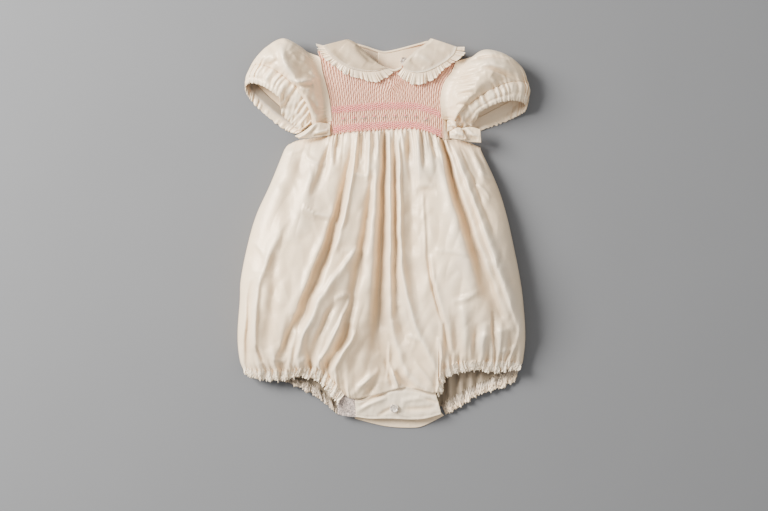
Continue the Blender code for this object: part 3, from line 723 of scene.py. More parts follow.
def body_point(u, v, waist, hem):
    """x and y on the body, and the distances to the side seams, the waist edge and the hem."""
    left = column(SIDE_SEAMS, mix(hem[0][1], waist[0][1], v), 1)
    right = column(SIDE_SEAMS, mix(hem[-1][1], waist[-1][1], v), 2)
    top, bottom = along_curve(waist, u), along_curve(hem, u)
    share_top = (top[..., 0] - waist[0][0]) / (waist[-1][0] - waist[0][0])
    share_bottom = (bottom[..., 0] - hem[0][0]) / (hem[-1][0] - hem[0][0])
    x = mix(left, right, mix(share_bottom, share_top, v))
    y = mix(bottom[..., 1], top[..., 1], v)
    side = np.minimum(x - left, right - x)
    return x, y, side, np.maximum(top[..., 1] - y, 0), np.maximum(y - bottom[..., 1], 0)


def waist_opening(x):
    """0 where the waist edge is sewn to the bodice, 1 beside it."""
    return ease((np.abs(x - WAIST_MIDDLE) - BODICE_HALF) / WAIST_FADE + 0.5)


def hem_distance(x, y, hem):
    """Distance of each point to the nearest point of the hem's steep part, beside the crotch."""
    line = along_curve(hem, np.linspace(0, 1, 240))
    steep = line[(line[:, 0] > STEEP_HEM[0]) & (line[:, 0] < STEEP_HEM[1])]
    gaps = np.hypot(np.ravel(x)[:, None] - steep[None, :, 0], np.ravel(y)[:, None] - steep[None, :, 1])
    return gaps.min(1).reshape(np.shape(x))


def front_level(x, v):
    """Height of the front without its folds, which rises from the middle line to each leg."""
    middle, legs = column(FRONT_HEIGHTS, v, 1), column(FRONT_HEIGHTS, v, 2)
    leg = np.where(x < MIDDLE_X, LEG_CENTRES[0], LEG_CENTRES[1])
    return mix(middle, legs, ease((x - MIDDLE_X) / (leg - MIDDLE_X)))


def front_cloth(u, v, strength=1.0):
    """The front of the body: its level, the folds, gathers that fade away from waist and hem, and creases.

    The folds are read at places moved a little aside by uneven waves. All of it is rounded down to the side
    seams, and to the open ends of the waist, by a quarter of a circle. The gathers move the sewn edge of the
    waist up and down, and it is tucked below the yoke.
    """
    x, y, side, below, above = body_point(u, v, FRONT_WAIST, FRONT_HEM)
    bent_x = x + crumple(x, y, 38, 0.7) + 0.3 * crumple(x, y, 14, 2)
    bent_y = y + 2.5 * crumple(x, y, 37, 1.9)
    folds = sum(fold_heights(rows, bent_x, bent_y) for rows in (CENTRE_FOLDS, LEFT_FOLDS, RIGHT_FOLDS))
    waist = lengths_along(FRONT_WAIST)[-1] * u
    hem = lengths_along(FRONT_HEM)[-1] * u
    gathered = 1 - 0.8 * ease((np.abs(x - WAIST_MIDDLE) - GATHERED_HALF) / WAIST_FADE)
    legs = 0.05 + 0.95 * ease((np.abs(x - CROTCH_MIDDLE) - CROTCH_HALF) / CROTCH_FADE)
    small = gathered * fading_gathers(waist, below, WAIST_PITCH, WAIST_GATHERS)
    small += legs * fading_gathers(hem, above, HEM_PITCH, HEM_GATHERS) + fold_heights(CREASES, x, y)
    y = y + 0.8 * gathered * gathers(waist, WAIST_PITCH) * np.exp(-below / 2)
    small += 0.2 * crumple(x, y, 21) + 0.6 * crumple(x, y * 0.35, 38, 0.4)
    small += 1.8 * press(x, 0.6 * y, 36, 1.3) - 1.5 * press(x, 0.5 * y, 27, 2.6)
    level = front_level(x, np.minimum(v, hem_distance(x, y, FRONT_HEM) / (below + above)))
    edge = SEAM_HEIGHT + SEAM_LIFT
    shoulder = mix(1, rise(below, WAIST_ROUND), waist_opening(x))
    height = edge + (level + folds + strength * small - edge) * rise(side, SIDE_ROUND) * shoulder
    seam = YOKE_HEIGHT - 0.3 - 4 * ease((np.abs(x - WAIST_MIDDLE) - 50) / 20)
    height = mix(height, np.minimum(height, seam), bell(below, 0.8) * (1 - waist_opening(x)))
    # The second value sets the painted shade in troughs and the painted highlight on ridges, from the folds.
    return np.stack([x, y, height], -1), np.clip((folds + small) / FRONT_RELIEF, -1, 1)


def back_cloth(u, v, strength=1.0):
    """The back of the body: flat on the surface, turned up to the side seams, with folds that stand off it.

    Its painted shade deepens towards the leg openings, where the inside lies in shadow.
    """
    x, y, side, below, above = body_point(u, v, BACK_WAIST, BACK_HEM)
    edge = SEAM_HEIGHT - SEAM_LIFT
    shoulder = waist_opening(x) * (1 - rise(below, BACK_ROUND))
    hem = lengths_along(BACK_HEM)[-1] * u
    folds = fold_heights(BACK_FOLDS, x, y) + 0.5 * np.maximum(crumple(x, y, 24), 0)
    folds += fading_gathers(hem, above, HEM_PITCH, BACK_HEM_GATHERS, raised=True)
    folds += fading_gathers(0.6 * hem, below, WAIST_PITCH, BACK_WAIST_GATHERS, raised=True)
    lift = strength * np.maximum(folds, 0) * ease(side / 14)
    height = edge * np.maximum(1 - rise(side, BACK_ROUND), shoulder) + lift
    # Painted tint: a little lighter on the raised folds, and painted shade deepening from SHADE_FROM towards
    # the leg openings.
    return np.stack([x, y, height], -1), 0.08 * folds - mix(0.2, 2.0, ease((SHADE_FROM - y) / SHADE_FADE))


def bodice_point(u, v, sides, waist, neckline):
    """x and y on the bodice, between its sides, its waist edge and its neckline."""
    bottom, top = along_curve(waist, u), along_curve(neckline, u)
    y = mix(bottom[..., 1], top[..., 1], v)
    side_y = mix(sides[0][0], sides[-1][0], v)
    left, right = column(sides, side_y, 1), column(sides, side_y, 2)
    share_top = (top[..., 0] - neckline[0][0]) / (neckline[-1][0] - neckline[0][0])
    return mix(left, right, mix(u, share_top, v)), y


def yoke_level(u):
    """Height of the yoke without its pleats: it falls to its sides as the sixth power of their nearness."""
    return YOKE_HEIGHT - YOKE_EDGE * np.abs(2 * u - 1) ** 6


def smocked_cloth(u, v):
    """The yoke in fine tubes: a cosine across it, drawn left and right in turn so that neighbours meet.

    A tube moves aside by a sine up the yoke times a cosine that changes sign from tube to tube.
    """
    pull = DIAMOND_PULL / PLEATS * np.sin(TURN * DIAMOND_ROWS * v) * np.cos(math.pi * PLEATS * u)
    pull = pull + 0.3 / PLEATS * crumple(150 * u, 90 * v, 13) * np.sin(math.pi * u)
    x, y = bodice_point(np.clip(u + pull, 0, 1), v, YOKE_SIDES, YOKE_WAIST, NECKLINE)
    wave = np.cos(TURN * PLEATS * u)
    height = yoke_level(u) + PLEAT_HEIGHT * wave + 0.35 * crumple(x, y, 26)
    # Painted highlight on the pleat tops and painted shade between them, a little darker over all.
    return np.stack([x, y, height], -1), np.clip(0.7 * wave - 0.3, -1, 1)


def yoke_share(u, above):
    """The share v of the yoke that lies a distance above the lowest line of stitches."""
    bottom, top = along_curve(YOKE_WAIST, u)[..., 1], along_curve(NECKLINE, u)[..., 1]
    line = column(BAND_LINE, mix(BAND_LINE[0][0], BAND_LINE[-1][0], u), 1)
    return (line + above - bottom) / (top - bottom)


def smocking_stitches(rows, crossing, height):
    """Starts and ends of stitches between neighbouring pleats on the yoke.

    rows are heights above the lowest line of stitches, and crossing(row number, pleat) gives how far above
    its row the thread crosses that pleat and the next, or nan where no stitch starts.
    """
    starts, ends = [], []
    pleat = np.arange(1, PLEATS - 1)
    for number, above in enumerate(rows):
        low, high = crossing(number, pleat)
        keep = np.isfinite(low) & np.isfinite(high)
        for store, which, drift in ((starts, pleat, low), (ends, pleat + 1, high)):
            u = which / PLEATS
            share = np.clip(yoke_share(u, above + drift), 0.004, 0.985)
            x, y = bodice_point(u, share, YOKE_SIDES, YOKE_WAIST, NECKLINE)
            z = yoke_level(u) + height + 0.35 * crumple(x, y, 26)
            store.append(np.stack([x, y, z], -1)[keep])
    return np.concatenate(starts), np.concatenate(ends)


def back_bodice(left_share, right_share, lift):
    """A half of the back bodice, between two shares of its width.

    It lies on the surface, turns up at its side and rises by lift where it lies on the other half.
    """

    def place(u, v):
        across = mix(left_share, right_share, u)
        x, y = bodice_point(across, v, BACK_SIDES, BACK_BODICE_WAIST, BACK_NECKLINE)
        reach = np.minimum(across, 1 - across) * (BACK_SIDES[0][2] - BACK_SIDES[0][1])
        lap = lift * (1 - ease((x - LAP[1]) / LAP_FADE))
        height = lap + (SEAM_HEIGHT - SEAM_LIFT) * (1 - rise(reach, BODICE_ROUND))
        wave = np.maximum(crumple(x, y, 19), 0)
        height = height + 0.35 * wave * ease(reach / 8)
        # Painted tint: the half beneath lies in deeper painted shade than the lapped half, and the lifted waves
        # are painted darker.
        return np.stack([x, y, height], -1), (0.2 if lift else -0.6) - 0.5 * wave

    return place


def side_strip(edge, y_top, outer_waist, outer_top):
    """A plain strip from the yoke's edge, rounding down to the side seam by a quarter of a circle."""
    sign = -1 if edge == 1 else 1

    def place(u, v):
        y = mix(STRIP_WAIST, y_top, v)
        inner = column(YOKE_SIDES, y, edge) - sign * STRIP_LAP
        turn = (u if edge == 2 else 1 - u) * math.pi / 2
        x = mix(inner, mix(outer_waist, outer_top, v), np.sin(turn))
        z = mix(SEAM_HEIGHT + SEAM_LIFT, YOKE_HEIGHT - YOKE_EDGE, np.cos(turn))
        z = z + 0.25 * crumple(x, y, 9) * np.sin(turn * 2)
        # The whole strip takes a little of the painted ridge highlight.
        return np.stack([x, y, z], -1), 0.2 + 0 * z

    return place


def ring_points(rows, u, v):
    """Rings through four points each: an ellipse whose centre, two half axes and pinch come from them."""
    table = np.array(rows, float)
    row = smooth_through(table, np.linspace(0, 1, len(rows)), 1 - v)
    outer, front, inner = row[..., :3], row[..., 3:6], row[..., 6:9]
    back = np.concatenate([row[..., 9:], np.full((*row.shape[:-1], 1), BELOW)], -1)
    turn = (TURN * u)[..., None]
    centre = (outer + front + inner + back) / 4
    across, up = (outer - inner) / 2, (front - back) / 2
    pinch = (outer - front + inner - back) / 4
    return centre + across * np.cos(turn) + up * np.sin(turn) + pinch * np.cos(2 * turn)


def sleeve_cloth(rows, folds, edge):
    """A puff sleeve: its rings, folds on its upper side, and gathers that grow towards both of its seams.

    Beside the armhole runs a rounded ridge, with a trough between it and the seam. The upper side runs out
    over the yoke's edge there, which is column edge of the yoke's table.
    """
    sign = -1 if edge == 1 else 1

    def place(u, v):
        points = ring_points(rows, u, v)
        x, y = points[..., 0], points[..., 1]
        upper = np.clip(np.sin(TURN * u), 0, 1)
        relief = fold_heights(folds, x, y) * upper**0.5 * ease(v / 0.12) * ease((1 - v) / 0.1)
        near_cuff = ease((0.34 - v) / 0.34) ** 1.4
        near_arm = ease((v - 0.62) / 0.3) * ease((0.97 - v) / 0.06)
        pleat = 1.3 * ring_gathers(u, SLEEVE_PLEATS, 0.7, edge) * near_cuff
        pleat += 0.6 * ring_gathers(u, 40, 1, edge) * near_arm * (0.6 + 0.8 * crumple(x, y, 31, 1.1))
        relief += pleat - 0.3 * bell(v, 0.04)
        creases = 0.6 * crumple(x, y, 19, edge)
        creases += 1.8 * press(x, y, 27, edge) - 1.3 * press(x, y, 18, edge + 2)
        relief += creases * ease(v / 0.2) * ease((1 - v) / 0.2)
        relief += (0.7 * bell(v - 0.885, 0.022) - 0.9 * bell(v - 0.93, 0.02)) * upper**0.5
        share = mix(0.4, 1, ease(3 * np.sin(TURN * u) + 0.5))
        points[..., 2] = np.maximum(points[..., 2] + relief * share, 0)
        over = ease((v - 0.9) / 0.1) * ease(upper / 0.3)
        seam = column(YOKE_SIDES, np.clip(y, YOKE_SIDES[0][0], YOKE_SIDES[-1][0]), edge) - sign * 1.2
        points[..., 0] = mix(x, seam, over)
        points[..., 2] = mix(points[..., 2], YOKE_HEIGHT - 0.2, over)
        # The underside, seen inside the opening, is painted in shade on the left and a little lighter on the
        # right; on top the relief gives painted shade and highlight.
        underside = -0.8 if edge == 1 else 0.3
        return points, np.where(upper > 0, np.clip(relief / SLEEVE_RELIEF, -1, 1), underside)

    return place


def cuff_cloth(rows, edge):
    """A cuff: puffed pleats below the gather line, then a rolled band and a puckered free edge.

    The free edge moves in and out along the sleeve by a finer wave, which makes its scallops, largest at the
    outer end. At the inner end the upper side closes on the lower one. The underside is painted as the inside
    of the opening, in deep shade on the left and lighter on the right, and its pleats show where it turns into
    the free edge.
    """
    # Painted tint of the inside of the opening: deep shade on the left, lighter on the right.
    closed_from, inside_tint = (-0.08, -1.8) if edge == 1 else (-0.5, 0.4)

    def place(u, v):
        points = ring_points(rows, u, v)
        before, after = (ring_points(rows, u, np.clip(v + step, 0, 1)) for step in (0.04, -0.04))
        outward = unit(after - before)
        upper, across = np.sin(TURN * u), np.cos(TURN * u)
        shut = ease((closed_from - across) / 0.3) * ease(upper / 0.3) * (1 - v)
        lower = ring_points(rows, 1 - u, v)
        points = points + (lower - points) * shut[..., None] * (0.55, 0.55, 0.6)
        free = ease((0.34 - v) / 0.34)
        inner = ease((0.55 - v) / 0.35)
        pleat = ring_gathers(u, SLEEVE_PLEATS, 0.7, edge) * (0.8 + 0.35 * ring_gathers(u, 9, 1, edge + 3))
        relief = 1.7 * pleat * (1 - 0.6 * shut) * (0.35 + 0.65 * ease((v - 0.2) / 0.2))
        relief += (0.5 + 2.4 * shut) * crumple(points[..., 0], points[..., 1], 9)
        relief += 0.6 * np.sin(math.pi * v) - 0.3 * bell(1 - v, 0.08) - 0.5 * bell(v - 0.3, 0.07)
        relief += 0.6 * np.sin(math.pi * np.clip(v / 0.3, 0, 1)) + 0.5 * ring_gathers(u, 58, 1, edge) * free
        size = 0.7 + 0.4 * ring_gathers(u, 6, 1, edge) + 0.8 * ease((across - 0.75) / 0.2)
        scallop = ring_gathers(u, 42, 0.7, edge + 1) * size
        points = points + outward * (np.where(upper > 0, 0.7, 1.4) * scallop * free)[..., None]
        under = np.where(upper > 0, 0, (0.8 * (1 + pleat) + 0.6 * (1 + scallop)) * inner)
        height = points[..., 2] + relief * mix(0.4, 1, ease(3 * upper + 0.5)) + under
        points[..., 2] = np.maximum(height, 0.5)
        # Painted shade and highlight: by the relief on top; below, the inside's tint, lighter at the pleated
        # rim.
        inside = mix(inside_tint, 0.1 + 0.4 * pleat, inner)
        return points, np.where(upper > 0, np.clip(0.15 + relief / 3, -1, 1), inside)

    return place


def between(upper, lower, height):
    """A strip between two edges: v is 1 on the upper edge and 0 on the lower. height gives z and relief."""

    def place(u, v):
        flat = mix(along_curve(lower, u), along_curve(upper, u), v[..., None])
        z, relief = height(u, v, flat[..., 0], flat[..., 1])
        return np.stack([flat[..., 0], flat[..., 1], z], -1), relief

    return place


def collar_height(u, v, x, y):
    """A soft dome across the collar, rolled down at the neck, with its creases and a rim at the ruffle.

    The creases give painted shade and highlight, the left half is painted in deeper shade than the right one,
    and the rim at the ruffle takes a painted highlight.
    """
    folds = fold_heights(COLLAR_FOLDS, x, y)
    roll = 2.6 * ease((v - 0.86) / 0.14) ** 2
    rim = ease((0.1 - v) / 0.08)
    z = COLLAR_HEIGHT + 1.2 * np.sin(math.pi * v) + 1.3 * folds - roll + 0.3 * rim
    z = z + 0.3 * crumple(x, y, 15)
    return z, np.clip(folds / 2 - np.where(x < MIDDLE_X, 1.35, 0.3) + 1.3 * rim, -1.6, 1)


def ruffle(upper, lower, shift):
    """A gathered ruffle: uneven waves that grow from its seam to its free edge, which they also move.

    They are larger away from the middle of the neck and fade at the ruffle's two ends.
    """
    flat = between(upper, lower, lambda u, v, x, y: (0 * x, 0 * x))

    def place(u, v):
        points = flat(u, v)[0]
        out = unit(flat(u, 0 * v)[0] - flat(u, 0 * v + 1)[0])
        grow = (1 - v) ** 0.8
        broad = ring_gathers(u, 9, 0.8, shift)
        outer = 0.45 + 0.75 * ease((np.abs(points[..., 0] - 8) - 18) / 40)
        wave = ring_gathers(u, RUFFLE_PLEATS, 0.8, shift) * outer
        wave = wave * (0.8 + 0.4 * ring_gathers(u, 5, 1, shift + 4))
        fine = ring_gathers(u, 2 * RUFFLE_PLEATS + 3, 1, shift + 2) * outer
        ends = ease(u / 0.04) * ease((1 - u) / 0.04)
        points = points + out * ((1.1 * broad + 0.3 * fine + 0.4 * wave) * grow * ends)[..., None]
        relief = RUFFLE_PLEAT * wave * grow + 0.25 * fine * grow + 1.3 * broad * (1 - v) ** 1.5
        relief += 0.5 * ease((0.14 - v) / 0.14)
        points[..., 2] = RUFFLE_HEIGHT - (1 - v) * RUFFLE_DROP + relief
        # Painted shade and highlight by the height of the waves.
        return points, np.clip(0.1 + 0.7 * relief, -1, 1)

    return place


def apart(rows, distance):
    """The curve moved sideways by a distance, to its right as it runs."""
    points = np.array(rows, float)
    slopes = np.gradient(points, axis=0)
    return points + unit(np.stack([slopes[:, 1], -slopes[:, 0]], 1)) * distance


def hem_share(hem, x):
    """How far along a hem, from 0 to 1, it reaches x."""
    shares = np.linspace(0, 1, 400)
    return float(np.interp(x, along_curve(hem, shares)[:, 0], shares))


def leg_frill(body, hem, x_from, x_to, edge, tip, tone):
    """A frill puckered by its elastic, from the hem between two values of x to its free edge.

    It starts on the body's own cloth just above its hem and lies over it. Narrow petals, whose places
    wander from the seam outwards, grow to the free edge, which they also move in and out and lean aside.
    tip is the height of the free edge, or 0 for a back frill, whose middle stands off the surface. tone is
    the painted tint at the free edge, lighter as a painted highlight above 0 and painted shade below it. A back
    frill is painted in deep shade at its seam, and the petals take painted shade and highlight.
    """
    start, end = hem_share(hem, x_from), hem_share(hem, x_to)
    length = lengths_along(edge)[-1]
    front, back = (0.25, 0, 0, 0.3, 1.5), (0.75, 4, 0.9, -1.9, 0.6)
    seam_lift, arch, stand, seam_tint, tint_power = front if tip else back

    def place(u, v):
        at = mix(start, end, u)
        run = u * length
        step = along_curve(hem, np.minimum(at + HEM_STEP, 1)) - along_curve(hem, np.maximum(at - HEM_STEP, 0))
        out = unit(np.stack([step[..., 1], -step[..., 0], 0 * at], -1))
        along = np.stack([-out[..., 1], out[..., 0], 0 * at], -1)
        seam = body(at, np.clip(0.008 + 0.005 * gathers(run, FRILL_PITCH * 1.7), 0, 1))[0]
        seam = seam + (0, 0, seam_lift)
        height = tip + arch * np.sin(math.pi * u) ** 0.5
        free = np.concatenate([along_curve(edge, u), height[..., None]], -1)
        points = mix(free, seam, v[..., None])
        flare = 0.15 + 0.85 * ease((0.95 - v) / 0.85)
        wander = run + 0.45 * FRILL_PITCH * np.sin(8 * v + 2.5 * gathers(run, FRILL_PITCH * 2.3))
        fine = gathers(wander, FRILL_PITCH, 1.3)
        finer = gathers(wander + 5, FRILL_PITCH * 0.62)
        speckle = crumple(2 * run, 9 * v, 3.1)
        broad = gathers(run, FRILL_PITCH * 5.4)
        ragged = gathers(run + 9, FRILL_PITCH * 1.3, 0.7)
        petal = (0.5 * fine * (1 + 0.5 * ragged) + 0.3 * finer + 0.45 * speckle + 0.7 * broad) * flare
        reach = 0.7 * gathers(run, FRILL_PITCH, 2.5) + 0.5 * ragged * (1 + 0.5 * finer)
        reach += 0.4 * finer + 0.9 * broad
        lean = 1.3 * gathers(run + 2, FRILL_PITCH * 3.7) + 0.7 * gathers(run + 11, FRILL_PITCH * 1.7)
        points = points + out * (reach * flare)[..., None] + along * (lean * flare**2)[..., None]
        points[..., 2] = np.maximum(points[..., 2] + petal + flare * stand, 0.4)
        return points, np.clip(mix(tone, seam_tint, v**tint_power) + 0.75 * petal + 0.5 * speckle, -2, 1)

    return place


def crotch_front(u, v, x, y):
    """The front placket: an even slope up to the seam, soft folds and a turned lower edge.

    Its upper edge is tucked below the body's hem. It is painted lighter all over, with painted shade and
    highlight by its folds and painted shade along the tucked edge.
    """
    folds = (1.6 * fold_heights(CROTCH_FOLDS, x, y) + 0.5 * crumple(x, y, 23)) * ease(v / 0.12)
    edge = 0.35 * bell(v - 0.1, 0.05)
    tuck = 1.1 * ease((v - 0.9) / 0.1)
    z = mix(CROTCH_EDGE, HEM_HEIGHT, v) + folds - edge + 0.25 * crumple(x, y, 12) - tuck
    return z, np.clip(folds / 1.3 + 1.0 - 0.5 * ease((v - 0.94) / 0.06), -1, 1)


def crotch_back(u, v, x, y):
    """The back placket: flat on the surface, with soft waves away from its lower edge."""
    wave = np.maximum(crumple(x, y, 13), 0)
    # Painted tint: lighter all over as a painted highlight, less so where the waves lift.
    return 0.5 * wave * ease(v / 0.2), 0.8 - 0.5 * wave


def tape_height(u, v, x, y):
    """The tape, which rises towards its upper end as the power 1.5 of the share."""
    return TAPE_HEIGHT + TAPE_RISE * v**1.5 + 0.2 * crumple(x, y, 2), 0 * x


def sash(edges, folds, height, arch):
    """A folded tie: arched across its width by half a sine wave, creased, and lower where it is sewn."""

    def shape(u, v, x, y):
        creases = 2.2 * fold_heights(folds, x, y)
        sewn_end = SASH_DROP * ease((SASH_START[0] - np.abs(x - WAIST_MIDDLE)) / SASH_START[1])
        z = height - sewn_end + arch * np.sin(math.pi * v) + creases + 0.3 * crumple(x, y, 7)
        # The creases also give painted shade and highlight.
        return z, np.clip(creases, -1, 1)

    return between(*edges, shape)


# ---------------------------------------------------------------------------------------------------------
# Meshes
# ---------------------------------------------------------------------------------------------------------


def fill_mesh(name, points, faces, material, relief=None, corners=None):
    """A piece of these points and faces, moved from the tables' millimetres to the frame's metres."""
    mesh = bpy.data.meshes.new(name)
    place = (np.asarray(points, float) - (*CENTRE, 0)) * MM
    mesh.from_pydata(place.tolist(), [], faces)
    # relief drives the painted shade and highlight of the satins.
    if relief is not None:
        values = mesh.attributes.new("relief", "FLOAT", "POINT").data
        values.foreach_set("value", np.ravel(relief).astype(np.float32))
    if corners is not None:
        mesh.uv_layers.new(name="cloth").data.foreach_set("uv", np.ravel(corners).astype(np.float32))
    mesh.shade_smooth()
    mesh.validate()
    mesh.materials.append(material)
    obj = bpy.data.objects.new(name, mesh)
    bpy.context.scene.collection.objects.link(obj)
    return obj


def even(count):
    """Even shares from 0 to 1."""
    return np.linspace(0, 1, count + 1)


def towards_ends(count):
    """Shares from 0 to 1, closer together at the ends, by half a sine wave times 1 less twice the share."""
    t = even(count)
    return t - 0.05 * np.sin(math.pi * t) * (1 - 2 * t)


def ring_faces(rings, sides):
    """Numbers of the four corners of each face between rings of points, ring by ring."""
    ring, spoke = np.meshgrid(np.arange(rings - 1), np.arange(sides), indexing="ij")
    a, b = ring * sides + spoke, ring * sides + (spoke + 1) % sides
    return np.stack([a, b, b + sides, a + sides], -1).reshape(-1, 4)


def spokes_round(side, up, sides):
    """Directions round a thread, a circle in the plane of its side and up vectors."""
    around = TURN * np.arange(sides) / sides
    return side[..., None, :] * np.cos(around)[:, None] + up[..., None, :] * np.sin(around)[:, None]


def sheet_object(name, across, along, place, material, wall, ring=False, down=False):
    """A sheet on the grid of the shares across and along, set by place(u, v), with its wall inside.

    A ring closes on itself across, and a sheet that looks down has its faces turned round.
    """
    u, v = np.meshgrid(across[:-1] if ring else across, along, indexing="ij")
    points, relief = place(u, v)
    columns, rows = len(across) - 1, len(along)
    i, j = np.meshgrid(np.arange(columns), np.arange(rows - 1), indexing="ij")
    after = (i + 1) % columns if ring else i + 1
    faces = np.stack([i * rows + j, after * rows + j, after * rows + j + 1, i * rows + j + 1], -1)
    left, right = across[:-1][i], across[1:][i]
    low, high = along[:-1][j], along[1:][j]
    corners = np.stack([left, low, right, low, right, high, left, high], -1).reshape(*i.shape, 4, 2)
    if down:
        faces, corners = faces[..., ::-1], corners[..., ::-1, :]
    obj = fill_mesh(name, points.reshape(-1, 3), faces.reshape(-1, 4).tolist(), material, relief, corners)
    solid = obj.modifiers.new("Cloth wall", "SOLIDIFY")
    solid.thickness = wall
    solid.offset = -1
    return obj


def threads_object(name, starts, ends, radius, bow, material, sides=6, rings=5):
    """Short rounded threads from starts to ends.

    A thread's middle is lifted by half a sine wave of height bow, its radius is that of an ellipse to the
    fourth power along it, and its ends close on one point each.
    """
    starts, ends = np.asarray(starts, float), np.asarray(ends, float)
    t = (np.arange(rings) + 0.5) / rings
    middle = mix(starts[:, None], ends[:, None], t[None, :, None])
    middle[..., 2] += bow * np.sin(math.pi * t)
    run = unit(ends - starts)
    side = unit(np.cross(run, (0.0, 0.0, 1.0)))
    spokes = spokes_round(side, np.cross(side, run), sides)
    thick = radius * (1 - np.abs(2 * t - 1) ** 4) ** 0.5
    tube = middle[:, :, None] + thick[:, None, None] * spokes[:, None]
    count, each = len(starts), rings * sides + 2
    points = np.concatenate([starts[:, None], tube.reshape(count, -1, 3), ends[:, None]], 1)
    spoke = np.arange(sides)
    after = (spoke + 1) % sides
    last = 1 + (rings - 1) * sides
    base = (np.arange(count) * each)[:, None, None]
    faces = []
    for corners in (
        1 + ring_faces(rings, sides),
        np.stack([0 * spoke, 1 + after, 1 + spoke], -1),
        np.stack([0 * spoke + each - 1, last + spoke, last + after], -1),
    ):
        faces += (corners + base).reshape(-1, corners.shape[1])[:, ::-1].tolist()
    return fill_mesh(name, points.reshape(-1, 3), faces, material)


def stitch_row(name, path, length, gap, radius, material):
    """A row of running stitches along a path of points, each of that length with that gap between."""
    at = lengths_along(path)
    begin = np.arange(0.4 * length, at[-1] - length, length + gap)
    starts = np.stack([np.interp(begin, at, path[:, k]) for k in range(3)], -1)
    ends = np.stack([np.interp(begin + length, at, path[:, k]) for k in range(3)], -1)
    return threads_object(name, starts, ends, radius, radius * 0.8, material, sides=5, rings=3)


def piping_object(name, path, radius, material, sides=10):
    """A round piping along a path of points, whose ends are narrowed and closed flat."""
    path = np.asarray(path, float)
    run = unit(np.gradient(path, axis=0))
    side = unit(np.stack([run[:, 1], -run[:, 0], 0 * run[:, 0]], -1))
    to_end = np.minimum(np.arange(len(path)), np.arange(len(path))[::-1])
    taper = np.minimum(1, to_end / 2 + 0.3)
    tube = path[:, None] + radius * taper[:, None, None] * spokes_round(side, np.cross(side, run), sides)
    faces = ring_faces(len(path), sides).tolist()
    faces.append(list(range(sides))[::-1])
    faces.append([(len(path) - 1) * sides + k for k in range(sides)])
    # The whole piping takes a little of the painted ridge highlight.
    return fill_mesh(name, tube.reshape(-1, 3), faces, material, np.full(tube.shape[:2], 0.3))


def button_object(name, foot, material, sides=56):
    """A shirt button: a dished top inside a rounded rim, with four holes sunk in it.

    Its height above a radius is that of a flat disc with a raised rim, less a bell for each hole.
    """
    x, y, z, radius = foot
    turn = TURN * np.arange(sides) / sides
    px = radius * np.array(BUTTON_SHARES)[:, None] * np.cos(turn)
    py = radius * np.array(BUTTON_SHARES)[:, None] * np.sin(turn)
    pz = np.array(BUTTON_LEVELS)[:, None] + 0 * px
    for hole in range(4):
        angle = (hole + 0.5) * math.pi / 2
        away_x = px - HOLE_PLACE * radius * math.cos(angle)
        away_y = py - HOLE_PLACE * radius * math.sin(angle)
        sunk = HOLE_DEPTH * np.exp(-((np.hypot(away_x, away_y) / (HOLE_RADIUS * radius)) ** 4))
        pz[:TOP_RINGS] -= sunk[:TOP_RINGS]
    points = np.stack([px + x, py + y, pz + z], -1)[1:-1].reshape(-1, 3)
    points = np.concatenate([points, [[x, y, z + BUTTON_LEVELS[0]], [x, y, z]]])
    rings = len(BUTTON_SHARES) - 2
    faces = ring_faces(rings, sides)[:, [0, 3, 2, 1]].tolist()
    faces += [[rings * sides, k, (k + 1) % sides] for k in range(sides)]
    last = (rings - 1) * sides
    faces += [[rings * sides + 1, last + (k + 1) % sides, last + k] for k in range(sides)]
    return fill_mesh(name, points, faces, material)


# ---------------------------------------------------------------------------------------------------------
# Finishes
# ---------------------------------------------------------------------------------------------------------


def put(tree, socket, value):
    """Links the socket to the value where that is a node's output, and otherwise sets it."""
    if isinstance(value, bpy.types.NodeSocket):
        tree.links.new(value, socket)
    elif value is not None:
        socket.default_value = value


def node(tree, kind, **values):
    """A node of that kind with its properties set, and its inputs, by name, set or linked."""
    made = tree.nodes.new(kind)
    for key, value in values.items():
        label = key.replace("_", " ")
        if label in made.inputs:
            put(tree, made.inputs[label], value)
        else:
            setattr(made, key, value)
    return made


def math_node(tree, operation, first, second=None, clamp=False):
    """The result of a sum on one or two values or outputs, kept from 0 to 1 where clamp is true."""
    made = node(tree, "ShaderNodeMath", operation=operation, use_clamp=clamp)
    put(tree, made.inputs[0], first)
    put(tree, made.inputs[1], second)
    return made.outputs[0]


def steeper(tree, value, start, slope):
    """A share that is 0 up to start, grows by slope from there and ends at 1."""
    return math_node(tree, "MULTIPLY", math_node(tree, "SUBTRACT", value, start), slope, clamp=True)


def noise(tree, **values):
    """Noise read at the piece's own Object coordinates."""
    place = node(tree, "ShaderNodeTexCoord").outputs["Object"]
    return node(tree, "ShaderNodeTexNoise", Vector=place, **values).outputs["Fac"]


def two_colours(tree, share, first, second, **values):
    """The colour that lies by a share between two others."""
    made = node(tree, "ShaderNodeMix", data_type="RGBA", **values)
    for number, value in ((0, share), (6, first), (7, second)):
        put(tree, made.inputs[number], value)
    return made.outputs[2]


def bump(tree, height, strength, distance, below=None):
    """The normal with a bump of that height on the one below it."""
    made = node(tree, "ShaderNodeBump", Strength=strength, Distance=distance, Height=height, Normal=below)
    return made.outputs["Normal"]


def toned(colour, share):
    """The colour times a share, kept below 0.98, with its alpha."""
    return (*[min(part * share, 0.98) for part in colour], 1)


def new_group(name, inputs, outputs):
    """A shader node group with these inputs, each a name, socket kind and default, and these outputs."""
    group = bpy.data.node_groups.new(name, "ShaderNodeTree")
    for label, kind, default in inputs:
        socket = group.interface.new_socket(name=label, in_out="INPUT", socket_type=kind)
        socket.default_value = default
    for label, kind in outputs:
        group.interface.new_socket(name=label, in_out="OUTPUT", socket_type=kind)
    return group, group.nodes.new("NodeGroupInput"), group.nodes.new("NodeGroupOutput")


